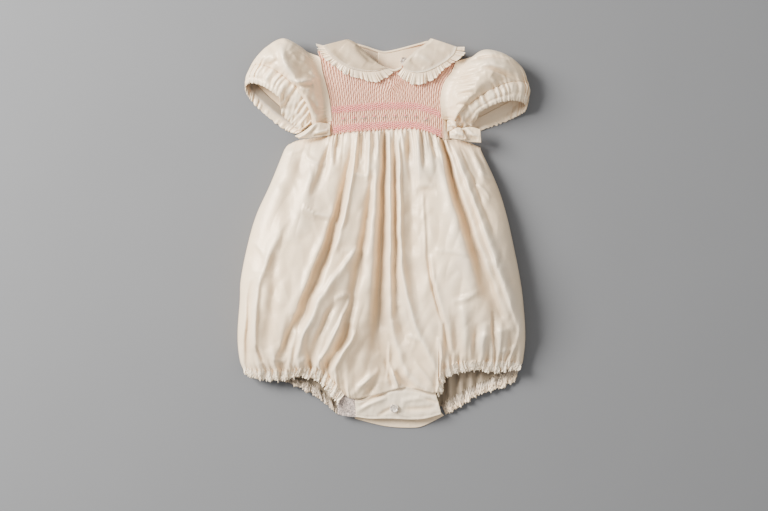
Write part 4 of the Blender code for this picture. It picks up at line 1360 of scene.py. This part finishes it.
def finished(name, build):
    """The material of that name. build(tree) adds its nodes once and gives its shader's inputs."""
    if name in bpy.data.materials:
        return bpy.data.materials[name]
    material = bpy.data.materials.new(name)
    material.use_nodes = True
    shader = material.node_tree.nodes["Principled BSDF"]
    for label, value in build(material.node_tree).items():
        put(material.node_tree, shader.inputs[label], value)
    return material


def slub_weave():
    """Plain weave crossed by slubs, the thick places of a silk thread, which run from side to side.

    Height is a quarter of the product of two sines of the place plus stretched noise. Slub is that noise
    alone.
    """
    if "slub_weave" in bpy.data.node_groups:
        return bpy.data.node_groups["slub_weave"]
    group, into, out = new_group(
        "slub_weave",
        (("Thread Pitch", "NodeSocketFloat", 0.0007), ("Slub Height", "NodeSocketFloat", 1.0)),
        (("Height", "NodeSocketFloat"), ("Slub", "NodeSocketFloat")),
    )
    place = node(group, "ShaderNodeTexCoord").outputs["Object"]
    parts = node(group, "ShaderNodeSeparateXYZ", Vector=place)
    waves = []
    for axis in (0, 1):
        turns = math_node(group, "DIVIDE", parts.outputs[axis], into.outputs["Thread Pitch"])
        waves.append(math_node(group, "SINE", math_node(group, "MULTIPLY", turns, TURN)))
    weave = math_node(group, "MULTIPLY", waves[0], waves[1])
    stretch = node(group, "ShaderNodeMapping", Vector=place, Scale=(28.0, 900.0, 500.0))
    slubs = node(
        group, "ShaderNodeTexNoise", Vector=stretch.outputs[0], Scale=1.0, Detail=3.0, Roughness=0.55
    )
    raised = math_node(group, "MULTIPLY", slubs.outputs["Fac"], into.outputs["Slub Height"])
    height = math_node(group, "ADD", math_node(group, "MULTIPLY", weave, 0.25), raised)
    put(group, out.inputs["Height"], height)
    put(group, out.inputs["Slub"], slubs.outputs["Fac"])
    return group


def fold_shade_and_slub_tint():
    """Cloth colour by how high it stands: painted shade in the trough colour below, a painted highlight in the
    ridge colour above.

    Relief runs from -1 to 1 outside. Below DEEP_RELIEF the cloth darkens towards the painted shade inside an
    opening. A broad noise shifts the relief a little, cooler patches lie over it, and the slubs streak it.
    """
    if "fold_shade_and_slub_tint" in bpy.data.node_groups:
        return bpy.data.node_groups["fold_shade_and_slub_tint"]
    group, into, out = new_group(
        "fold_shade_and_slub_tint",
        (
            ("Relief", "NodeSocketFloat", 0.0),
            ("Slub", "NodeSocketFloat", 0.5),
            ("Cloth", "NodeSocketColor", (0.8, 0.7, 0.6, 1)),
            ("Ridge", "NodeSocketColor", (0.9, 0.8, 0.7, 1)),
            ("Trough", "NodeSocketColor", (0.6, 0.4, 0.3, 1)),
            ("Trough Share", "NodeSocketFloat", 0.7),
            ("Ridge Share", "NodeSocketFloat", 0.7),
        ),
        (("Color", "NodeSocketColor"),),
    )
    broad = math_node(group, "SUBTRACT", noise(group, Scale=16.0, Detail=2.0), 0.5)
    level = math_node(group, "ADD", into.outputs["Relief"], math_node(group, "MULTIPLY", broad, 0.5))
    colour = into.outputs["Cloth"]
    # Painted shade towards the trough colour below 0, a painted highlight towards the ridge colour above it.
    for name, sign in (("Trough", -1.0), ("Ridge", 1.0)):
        signed = math_node(group, "MULTIPLY", level, sign)
        share = math_node(group, "MULTIPLY", signed, into.outputs[name + " Share"], clamp=True)
        colour = two_colours(group, share, colour, into.outputs[name])
    # Painted deep shade inside an opening: the cloth colour at 0.17 of its brightness.
    shaded = node(group, "ShaderNodeVectorMath", operation="SCALE", Vector=into.outputs["Cloth"], Scale=0.17)
    deep = math_node(group, "MULTIPLY", math_node(group, "SUBTRACT", DEEP_RELIEF, level), 1.3, clamp=True)
    colour = two_colours(group, deep, colour, shaded.outputs[0])
    patches = steeper(group, noise(group, Scale=11.0, Detail=3.0, Distortion=0.6), 0.48, 6.0)
    colour = two_colours(group, patches, colour, COOL_TINT, blend_type="MULTIPLY")
    streak = math_node(group, "ADD", math_node(group, "MULTIPLY", into.outputs["Slub"], 0.10), 0.95)
    streaked = node(group, "ShaderNodeVectorMath", operation="SCALE", Vector=colour, Scale=streak)
    put(group, out.inputs["Color"], streaked.outputs[0])
    return group


def satin_material(name, cloth, ridge, trough, shares=(0.75, 0.6), slub=1.0, rough=(0.27, 0.44), gloss=0.95):
    """Slubbed satin: the fold tint for its colour, with shares for the painted shade of its trough and the
    painted highlight of its ridge, and a soft sheen.

    Its bumps lie on each other: broad facets, small creases and the weave. Its roughness runs between the
    two of rough by patches, and its highlights take the warm tint of silk.
    """

    def build(tree):
        weave = node(
            tree, "ShaderNodeGroup", node_tree=slub_weave(), Thread_Pitch=THREAD_PITCH, Slub_Height=slub
        )
        tint = node(
            tree,
            "ShaderNodeGroup",
            node_tree=fold_shade_and_slub_tint(),
            Relief=node(tree, "ShaderNodeAttribute", attribute_name="relief").outputs["Fac"],
            Slub=weave.outputs["Slub"],
            Cloth=(*cloth, 1),
            Ridge=(*ridge, 1),
            Trough=(*trough, 1),
            Trough_Share=shares[0],
            Ridge_Share=shares[1],
        )
        patches = noise(tree, Scale=45.0, Detail=3.0)
        roughness = node(tree, "ShaderNodeMapRange", Value=patches, To_Min=rough[0], To_Max=rough[1])
        facets = noise(tree, noise_type="RIDGED_MULTIFRACTAL", Scale=42.0, Detail=2.0, Distortion=0.4)
        creases = noise(tree, Scale=150.0, Detail=4.0, Roughness=0.6)
        normal = bump(tree, facets, 0.2, 0.0012)
        normal = bump(tree, creases, 0.25, 0.0012, normal)
        normal = bump(tree, weave.outputs["Height"], 0.35, 0.00018, normal)
        return {
            "Base Color": tint.outputs["Color"],
            "Roughness": roughness.outputs[0],
            "Normal": normal,
            "Specular IOR Level": gloss,
            "Specular Tint": (1.0, 0.80, 0.58, 1),
            "Sheen Weight": 0.18,
            "Sheen Roughness": 0.4,
            "Sheen Tint": (1.0, 0.90, 0.78, 1),
        }

    return finished(name, build)


def thread_material(name, colour, rough=0.6, sheen=0.3, spread=(0.82, 1.12), grain=260.0, softness=0.5):
    """Twisted embroidery thread: a diagonal wave along it for its bump and a noise over its colour.

    The colour runs between the two shares of spread while the noise is less than softness from its middle.
    """

    def build(tree):
        place = node(tree, "ShaderNodeTexCoord").outputs["Object"]
        twist = node(
            tree, "ShaderNodeTexWave", Vector=place, Scale=420.0, Distortion=1.5, bands_direction="DIAGONAL"
        )
        uneven = noise(tree, Scale=grain, Detail=2.0)
        crisp = node(
            tree, "ShaderNodeMapRange", Value=uneven, From_Min=0.5 - softness, From_Max=0.5 + softness
        )
        return {
            "Base Color": two_colours(tree, crisp.outputs[0], *(toned(colour, share) for share in spread)),
            "Normal": bump(tree, twist.outputs["Fac"], 0.4, 0.0001),
            "Roughness": rough,
            "Sheen Weight": sheen,
        }

    return finished(name, build)


def pearl_material(colour):
    """Pearly button: pale clouds over its darker colour, under a clear coat."""

    def build(tree):
        clouds = steeper(tree, noise(tree, Scale=320.0, Detail=3.0, Distortion=1.2), 0.36, 3.5)
        return {
            "Base Color": two_colours(tree, clouds, toned(colour, 0.4), PEARL_CLOUD),
            "Roughness": 0.22,
            "Coat Weight": 0.4,
            "Coat Roughness": 0.08,
        }

    return finished("pearl_button", build)


def floor_material(colour):
    """Plain matt floor, whose colour wanders by 3 hundredths over broad patches."""

    def build(tree):
        patches = noise(tree, Scale=9.0, Detail=6.0)
        return {
            "Base Color": two_colours(tree, patches, toned(colour, 0.97), toned(colour, 1.03)),
            "Roughness": 0.85,
        }

    return finished("plain_floor", build)


def sewing_thread():
    """The ivory thread of the visible stitches and of the buttons."""
    return thread_material("sewing_thread", (0.80, 0.74, 0.66), 0.5)


def outer_satin(cloth):
    """The satin's lustrous side, in the three colours of the cloth's settings: its own ivory, the painted ridge
    highlight and the painted trough shade.
    """
    return satin_material("ivory_satin", cloth.satin, cloth.ridge, cloth.trough)


def inner_satin(cloth):
    """The satin's duller inside, painted darker than the outer side as shade, with painted trough shade still
    deeper and the outer side's own colour on its ridges.
    """
    # Painted shade: the inside is a darker copy of the satin.
    deeper = [part * 0.94 for part in cloth.satin]
    shade = [mix(part, 0.42, 0.25) for part in cloth.trough]
    return satin_material("ivory_satin_inside", deeper, cloth.satin, shade, (1.0, 0.6), 0.8, (0.42, 0.58))


def collar_satin(cloth):
    """The satin of the collar, a little greyer."""
    greyer = [part * share for part, share in zip(cloth.satin, (0.76, 0.77, 0.80))]
    return satin_material("ivory_collar", greyer, cloth.ridge, cloth.trough, (0.4, 0.7))


def frill_satin(cloth):
    """The satin of the frills, whose many small pleats show more of both the painted trough shade and the
    painted ridge highlight.
    """
    shade = [mix(part, 0.45, 0.4) for part in cloth.trough]
    return satin_material("ivory_frill", cloth.satin, cloth.ridge, shade, (0.9, 0.9), 0.6)


def yoke_satin(cloth):
    """The rougher satin of the yoke, tinted by its peach threads, with painted shade deepest between the pleats
    and a painted highlight on them.
    """
    blush, lit, deep = (
        [mix(a, b, share) for a, b in zip(cloth.satin, cloth.honeycomb)] for share in (0.57, 0.31, 0.97)
    )
    shade = [mix(0.75 * part, 0.45, 0.2) for part in deep]
    return satin_material("yoke_satin", blush, lit, shade, (0.75, 0.8), 0.5, (0.55, 0.7), 0.3)


# ---------------------------------------------------------------------------------------------------------
# Attaching the pieces to the garment
# ---------------------------------------------------------------------------------------------------------


def dress(obj, cad_node):
    """The piece stands for its CAD node, whose part it hides, and rides on the garment."""
    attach(obj, "root")
    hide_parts(cad_node)


def sewn(obj, cad_node):
    """The piece dresses its CAD node."""
    dress(obj, cad_node)


def trim(obj):
    """The piece rides on the garment and stands for no CAD node."""
    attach(obj, "root")


# ---------------------------------------------------------------------------------------------------------
# Operators
# ---------------------------------------------------------------------------------------------------------


class ROMPER_OT_stage(bpy.types.Operator):
    """Lays the floor and sets the lights and the camera"""

    bl_idname = "romper.stage"
    bl_label = "Stage"

    def execute(self, context):
        stage = context.scene.romper_stage
        corners = [(x * FLOOR_HALF, y * FLOOR_HALF, 0) for x, y in ((-1, -1), (1, -1), (1, 1), (-1, 1))]
        mesh = bpy.data.meshes.new("floor")
        mesh.from_pydata(corners, [], [(0, 1, 2, 3)])
        mesh.materials.append(floor_material(stage.floor))
        floor = bpy.data.objects.new("floor", mesh)
        floor.location.z = -FLOOR_DROP
        context.scene.collection.objects.link(floor)
        world = bpy.data.worlds.new("studio")
        world.use_nodes = True
        sky = world.node_tree.nodes["Background"]
        sky.inputs["Color"].default_value = SKY_COLOUR
        sky.inputs["Strength"].default_value = stage.sky
        context.scene.world = world
        for name, place, power, width in (
            ("key", (-1.5, 0.75, 1.1), stage.key_power, 0.95),
            ("fill", (1.5, -0.2, 1.3), stage.fill_power, 1.6),
        ):
            light = bpy.data.lights.new(name, "AREA")
            light.energy, light.size = power, width
            lamp = bpy.data.objects.new(name, light)
            lamp.location = place
            lamp.rotation_euler = (-lamp.location).to_track_quat("-Z", "Y").to_euler()
            context.scene.collection.objects.link(lamp)
        lens = bpy.data.cameras.new("camera")
        lens.sensor_width = 36
        lens.lens = lens.sensor_width * stage.camera_height / stage.view_width
        camera = bpy.data.objects.new("camera", lens)
        middle_y = (CAD_BOX[0][1] + CAD_BOX[1][1]) / 2
        camera.location = (CAMERA_ASIDE[0], middle_y + CAMERA_ASIDE[1], stage.camera_height)
        context.scene.collection.objects.link(camera)
        context.scene.camera = camera
        return {"FINISHED"}


class ROMPER_OT_body(bpy.types.Operator):
    """Makes the front and the back of the bubble body"""

    bl_idname = "romper.body"
    bl_label = "Body"

    def execute(self, context):
        cloth = context.scene.romper_cloth
        for side, panel_cloth, across, along, material, slot, flat, area, under in (
            ("front", front_cloth, 400, 118, outer_satin, "satin", (0.44, 0.30), 0.112, ("back_body",)),
            ("back", back_cloth, 160, 110, inner_satin, "satin_inside", (0.40, 0.30), 0.10, ()),
        ):
            panel = sheet_object(
                "body_" + side,
                even(across),
                towards_ends(along),
                lambda u, v: panel_cloth(u, v, cloth.fold_strength),
                material(cloth),
                cloth.wall,
                down=side == "back",
            )
            sewn(panel, side + "_body")
        return {"FINISHED"}


class ROMPER_OT_bodice(bpy.types.Operator):
    """Makes the smocked yoke, the side strips and the two halves of the back bodice"""

    bl_idname = "romper.bodice"
    bl_label = "Bodice"

    def execute(self, context):
        cloth = context.scene.romper_cloth
        backs = ("back_bodice_left", "back_bodice_right")
        yoke = sheet_object(
            "yoke_smocked", even(PLEATS * 7), even(90), smocked_cloth, yoke_satin(cloth), cloth.wall
        )
        sewn(yoke, "front_yoke")
        for side, area, tucked, place, under in (
            ("left", 0.00017, 0.08, side_strip(1, 134, -61.8, -61), backs[:1]),
            ("right", 0.00016, 0.25, side_strip(2, 127, 72.5, 68.2), backs[1:]),
        ):
            along = even(30) * (1 + tucked) - tucked
            strip = sheet_object("strip_" + side, even(14), along, place, outer_satin(cloth), 0.0006)
            sewn(strip, "side_strip_" + side)
        left, right = BACK_SIDES[0][1:]
        lap_start, lap_end = ((x - left) / (right - left) for x in LAP)
        for side, place in (
            ("left", back_bodice(0, lap_end, 0)),
            ("right", back_bodice(lap_start, 1, LAP_LIFT)),
        ):
            half = sheet_object(
                "bodice_back_" + side, even(70), even(70), place, inner_satin(cloth), LAID_WALL, down=True
            )
            sewn(half, "back_bodice_" + side)
        return {"FINISHED"}


class ROMPER_OT_smocking(bpy.types.Operator):
    """Embroiders the yoke: honeycomb, two pink bands and rosebuds with leaves between them"""

    bl_idname = "romper.smocking"
    bl_label = "Smocking"

    def execute(self, context):
        cloth = context.scene.romper_cloth
        pink = thread_material("smocking_thread", cloth.smocking, 0.6, 0.5, (0.93, 1.1))
        peach = [mix(a, b, 0.6) for a, b in zip(cloth.satin, cloth.honeycomb)]
        peach = thread_material("honeycomb_thread", peach)
        green = thread_material("leaf_thread", cloth.leaf)

        def honeycomb(number, pleat):
            """A level stitch from every second pleat, in turn from row to row."""
            flat = np.where((pleat + number) % 2 == 0, 0.0, np.nan)
            return flat, flat

        def zigzag(number, pleat):
            """A wave of straight stitches, four pleats long and two pleats on in every second row."""
            return (2.2 * np.abs(((k + 2 * (number % 2)) / 2) % 2 - 1) for k in (pleat, pleat + 1))

        def cable(number, pleat):
            """Slanted stitches, up and down in turn."""
            step = 0.3 * ((pleat % 2) * 2 - 1)
            return step, -step

        for name, rows, crossing, height, radius, bow, material, sides in (
            ("honeycomb_stitches", np.arange(*HONEYCOMB_ROWS), honeycomb, -0.15, 0.15, 0.15, peach, 5),
            ("band_stitches", BAND_ROWS, zigzag, 0.05, 0.38, 0.2, pink, 6),
            ("cable_stitches", CABLE_ROWS, cable, 0.04, 0.24, 0.2, pink, 5),
        ):
            starts, ends = smocking_stitches(rows, crossing, PLEAT_HEIGHT + height)
            trim(threads_object(name, starts, ends, radius, bow, material, sides, rings=3))

        buds = np.arange(6, PLEATS - 3, 5) / PLEATS
        x, y = bodice_point(buds, yoke_share(buds, ROSEBUD_ROW), YOKE_SIDES, YOKE_WAIST, NECKLINE)
        heart = np.stack([x, y, yoke_level(buds) + PLEAT_HEIGHT + 0.2], -1)
        # Each stitch of a rosebud: x and y of its start and of its end, from the bud's heart.
        petals = ((-1.0, -0.5, 0.9, -0.7), (-0.9, 0.3, 1.0, 0.4), (-0.5, 1.0, 0.6, 1.1))
        leaves = ((-1.0, -1.0, -2.5, -2.4), (1.0, -1.0, 2.5, -2.2), (0, -1.1, 0.2, -3.0))
        for name, offsets, radius, material in (
            ("rosebuds", petals, 0.5, pink),
            ("rosebud_leaves", leaves, 0.32, green),
        ):
            starts = np.concatenate([heart + (a, b, 0) for a, b, _, _ in offsets])
            ends = np.concatenate([heart + (c, d, 0) for _, _, c, d in offsets])
            trim(threads_object(name, starts, ends, radius, 0.35, material, sides=7))
        return {"FINISHED"}


class ROMPER_OT_sleeves(bpy.types.Operator):
    """Makes the puff sleeves and their pleated cuffs"""

    bl_idname = "romper.sleeves"
    bl_label = "Sleeves"

    def execute(self, context):
        cloth = context.scene.romper_cloth
        for side, edge, sleeve, cuff, folds in (
            ("left", 1, SLEEVE_LEFT, CUFF_LEFT, SLEEVE_LEFT_FOLDS),
            ("right", 2, SLEEVE_RIGHT, CUFF_RIGHT, SLEEVE_RIGHT_FOLDS),
        ):
            puff = sleeve_cloth(sleeve, folds, edge)
            frill = cuff_cloth((sleeve[-1], *cuff), edge)
            for label, cad_node, across, along, place, material, slot, flat, under in (
                ("puff_", "sleeve_", 280, 58, puff, outer_satin, "satin", (0.21, 0.072), ("back_body",)),
                ("cuff_frill_", "cuff_", 310, 22, frill, frill_satin, "frill", (0.22, 0.022), ()),
            ):
                tube = sheet_object(
                    label + side,
                    even(across),
                    even(along),
                    place,
                    material(cloth),
                    cloth.wall,
                    ring=True,
                    down=side == "right",
                )
                sewn(tube, cad_node + side)
        return {"FINISHED"}


class ROMPER_OT_collar(bpy.types.Operator):
    """Makes the collar halves, their ruffles and the neck binding"""

    bl_idname = "romper.collar"
    bl_label = "Collar"

    def execute(self, context):
        cloth = context.scene.romper_cloth
        for side, edges, shift in (("left", COLLAR_LEFT, 4), ("right", COLLAR_RIGHT, 5)):
            neck, seam, edge = edges if side == "left" else (rows[::-1] for rows in edges)
            flat = between(neck, seam, collar_height)
            along = even(36) * 1.03 - 0.03
            half = sheet_object("collar_half_" + side, even(90), along, flat, collar_satin(cloth), LAID_WALL)
            sewn(half, "collar_" + side)
            frill = sheet_object(
                "collar_ruffle_" + side,
                even(RUFFLE_PLEATS * 12),
                even(12),
                ruffle(apart(seam, RUFFLE_GAP), edge, shift),
                frill_satin(cloth),
                cloth.wall,
            )
            sewn(frill, "ruffle_" + side)
        path = np.insert(along_curve(BINDING, even(60)), 2, BINDING_HEIGHT, axis=1)
        dress(piping_object("neck_piping", path, BINDING_RADIUS, outer_satin(cloth)), "neck_binding")
        path = along_curve(BACK_NECKLINE[1:-1], even(90)) - (0, BACK_BINDING_INSET)
        path = np.insert(path, 2, BACK_BINDING_HEIGHT, axis=1)
        trim(piping_object("back_neck_piping", path, BINDING_RADIUS, inner_satin(cloth)))
        return {"FINISHED"}


class ROMPER_OT_leg_frills(bpy.types.Operator):
    """Makes the elastic frills of the leg openings"""

    bl_idname = "romper.leg_frills"
    bl_label = "Leg frills"

    def execute(self, context):
        cloth = context.scene.romper_cloth
        # tone is the painted tint at the free edge: lighter as a painted highlight above 0, painted shade below
        # it.
        for name, body, hem, x_from, x_to, edge, tip, tone, depth in (
            ("left_front", front_cloth, FRONT_HEM, -151, -42, FRILL_LEFT_FRONT, FRILL_TIP, 1.5, 0.0105),
            ("right_front", front_cloth, FRONT_HEM, 57.3, 149, FRILL_RIGHT_FRONT, FRILL_TIP, 1.5, 0.0105),
            ("left_back", back_cloth, BACK_HEM, -151, -50, FRILL_LEFT_BACK, 0, -1.2, 0.011),
            ("right_back", back_cloth, BACK_HEM, 62, 149, FRILL_RIGHT_BACK, 0, 0.4, 0.013),
        ):
            length = lengths_along(edge)[-1]
            frill = sheet_object(
                "elastic_frill_" + name,
                even(round(length / FRILL_PITCH) * 8),
                even(16),
                leg_frill(body, hem, x_from, x_to, edge, tip, tone),
                frill_satin(cloth),
                cloth.wall,
                down=tip == 0,
            )
            sewn(frill, "leg_frill_" + name)
        return {"FINISHED"}


class ROMPER_OT_crotch(bpy.types.Operator):
    """Makes the lapped crotch bands and the patch of looped tape"""

    bl_idname = "romper.crotch"
    bl_label = "Crotch bands"

    def execute(self, context):
        cloth = context.scene.romper_cloth
        band = between(*CROTCH_FRONT, crotch_front)
        front = sheet_object(
            "crotch_flap_front", even(120), even(44) * 1.1, band, outer_satin(cloth), LAID_WALL
        )
        sewn(front, "crotch_band_front")
        band = between(*CROTCH_BACK, crotch_back)
        back = sheet_object(
            "crotch_flap_back", even(110), even(26), band, inner_satin(cloth), LAID_WALL, down=True
        )
        sewn(back, "crotch_band_back")
        tape = thread_material("looped_tape", cloth.tape, 0.9, 0.5, (0.5, 1.5), 620.0, 0.14)
        patch = between(*CROTCH_TAPE, tape_height)
        ground = sheet_object("tape_ground", even(30), even(24), patch, tape, 0.0008)
        random = np.random.default_rng(11)
        u, v = random.random(LOOPS), random.random(LOOPS)
        flat = mix(along_curve(CROTCH_TAPE[1], u), along_curve(CROTCH_TAPE[0], u), v[:, None])
        level = TAPE_HEIGHT - 0.1 + TAPE_RISE * v[:, None] ** 1.5 + 0.2 * random.random((LOOPS, 1))
        foot = np.concatenate([flat, level], 1)
        angle = random.random(LOOPS) * TURN
        lean = np.stack([np.cos(angle), np.sin(angle), 0.1 + 0 * angle], -1)
        tips = foot + lean * (0.5 + 0.5 * random.random((LOOPS, 1)))
        loops = threads_object("tape_loops", foot, tips, 0.15, 1.0, tape, sides=4, rings=4)
        trim(loops)
        sewn(ground, "crotch_tape")
        return {"FINISHED"}


class ROMPER_OT_sashes(bpy.types.Operator):
    """Makes the waist sashes, tied on the right"""

    bl_idname = "romper.sashes"
    bl_label = "Sashes"

    def execute(self, context):
        cloth = context.scene.romper_cloth
        for name, label, edges, above, arch, flat in (
            ("sash_left", "tie_left", SASH_LEFT, 0, 1.5, (0.042, 0.0115)),
            ("sash_right_band", "tie_right_band", SASH_RIGHT_BAND, 0, 1, (0.035, 0.0135)),
            ("sash_right_loop", "tie_right_loop", SASH_RIGHT_LOOP, 1, 2, (0.0125, 0.0105)),
            ("sash_right_end", "tie_right_end", SASH_RIGHT_END, 3.5, 1.5, (0.018, 0.0115)),
        ):
            if name == "sash_left":
                edges = [rows[::-1] for rows in edges]
            place = sash(edges, SASH_FOLDS[name], SASH_HEIGHT + above, arch)
            tie = sheet_object(label, even(60), even(26), place, outer_satin(cloth), 0.0011)
            sewn(tie, name)
        return {"FINISHED"}


class ROMPER_OT_buttons(bpy.types.Operator):
    """Makes the pearly buttons and the thread that holds them"""

    bl_idname = "romper.buttons"
    bl_label = "Buttons"

    def execute(self, context):
        pearl = pearl_material(context.scene.romper_cloth.pearl)
        for name, label, foot in (
            ("crotch_button", "pearl_crotch", CROTCH_BUTTON),
            ("neck_button", "pearl_neck", NECK_BUTTON),
        ):
            dress(button_object(label, foot, pearl), name)
            x, y, z, radius = foot
            reach = HOLE_PLACE * radius * math.sqrt(0.5)
            holes = np.array([(x + a * reach, y + b * reach, z + 1.45) for a in (-1, 1) for b in (-1, 1)])
            # Stitches from hole to hole: along both diagonals and up the left side.
            starts, ends = holes[[0, 2, 0]], holes[[3, 1, 1]]
            trim(threads_object(label + "_thread", starts, ends, 0.16, 0.3, sewing_thread()))
        return {"FINISHED"}


class ROMPER_OT_stitching(bpy.types.Operator):
    """Sews the visible rows of stitches along the collar and the crotch band"""

    bl_idname = "romper.stitching"
    bl_label = "Stitching"

    def execute(self, context):
        left, right = (between(*edges[:2], collar_height) for edges in (COLLAR_LEFT, COLLAR_RIGHT))
        placket = between(*CROTCH_FRONT, crotch_front)
        t = even(240)
        for name, place, share, length, radius in (
            ("collar_stitches_left", left, 0.07, 1.5, 0.13),
            ("collar_stitches_right", right, 0.07, 1.5, 0.13),
            ("crotch_stitches_lower", placket, 0.11, 1.7, 0.14),
            ("crotch_stitches_upper", placket, 0.94, 1.7, 0.14),
        ):
            path = place(t, 0 * t + share)[0] + (0, 0, 0.05)
            trim(stitch_row(name, path, length, 0.7, radius, sewing_thread()))
        return {"FINISHED"}


class ROMPER_PT_panel(bpy.types.Panel):
    """Lists the romper's pieces"""

    bl_label = "Baby Romper"
    bl_idname = "ROMPER_PT_panel"
    bl_space_type = "VIEW_3D"
    bl_region_type = "UI"
    bl_category = "Romper"

    def draw(self, context):
        for group in (context.scene.romper_cloth, context.scene.romper_stage):
            for name in group.bl_rna.properties.keys():
                if name not in ("rna_type", "name"):
                    self.layout.prop(group, name)
        for operator in OPERATORS:
            self.layout.operator(operator.bl_idname)


OPERATORS = (
    ROMPER_OT_stage,
    ROMPER_OT_body,
    ROMPER_OT_bodice,
    ROMPER_OT_smocking,
    ROMPER_OT_sleeves,
    ROMPER_OT_collar,
    ROMPER_OT_leg_frills,
    ROMPER_OT_crotch,
    ROMPER_OT_sashes,
    ROMPER_OT_buttons,
    ROMPER_OT_stitching,
)


def register():
    """Registers the classes and gives the scene its settings."""
    for cls in (RomperCloth, RomperStage, *OPERATORS, ROMPER_PT_panel):
        bpy.utils.register_class(cls)
    bpy.types.Scene.romper_cloth = bpy.props.PointerProperty(type=RomperCloth)
    bpy.types.Scene.romper_stage = bpy.props.PointerProperty(type=RomperStage)


def unregister():
    """Takes the settings from the scene and unregisters the classes."""
    del bpy.types.Scene.romper_stage, bpy.types.Scene.romper_cloth
    for cls in (ROMPER_PT_panel, *reversed(OPERATORS), RomperStage, RomperCloth):
        bpy.utils.unregister_class(cls)


def main():
    """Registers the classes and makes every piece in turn."""
    register()
    for operator in OPERATORS:
        group, name = operator.bl_idname.split(".")
        getattr(getattr(bpy.ops, group), name)()


if __name__ == "__main__":
    main()
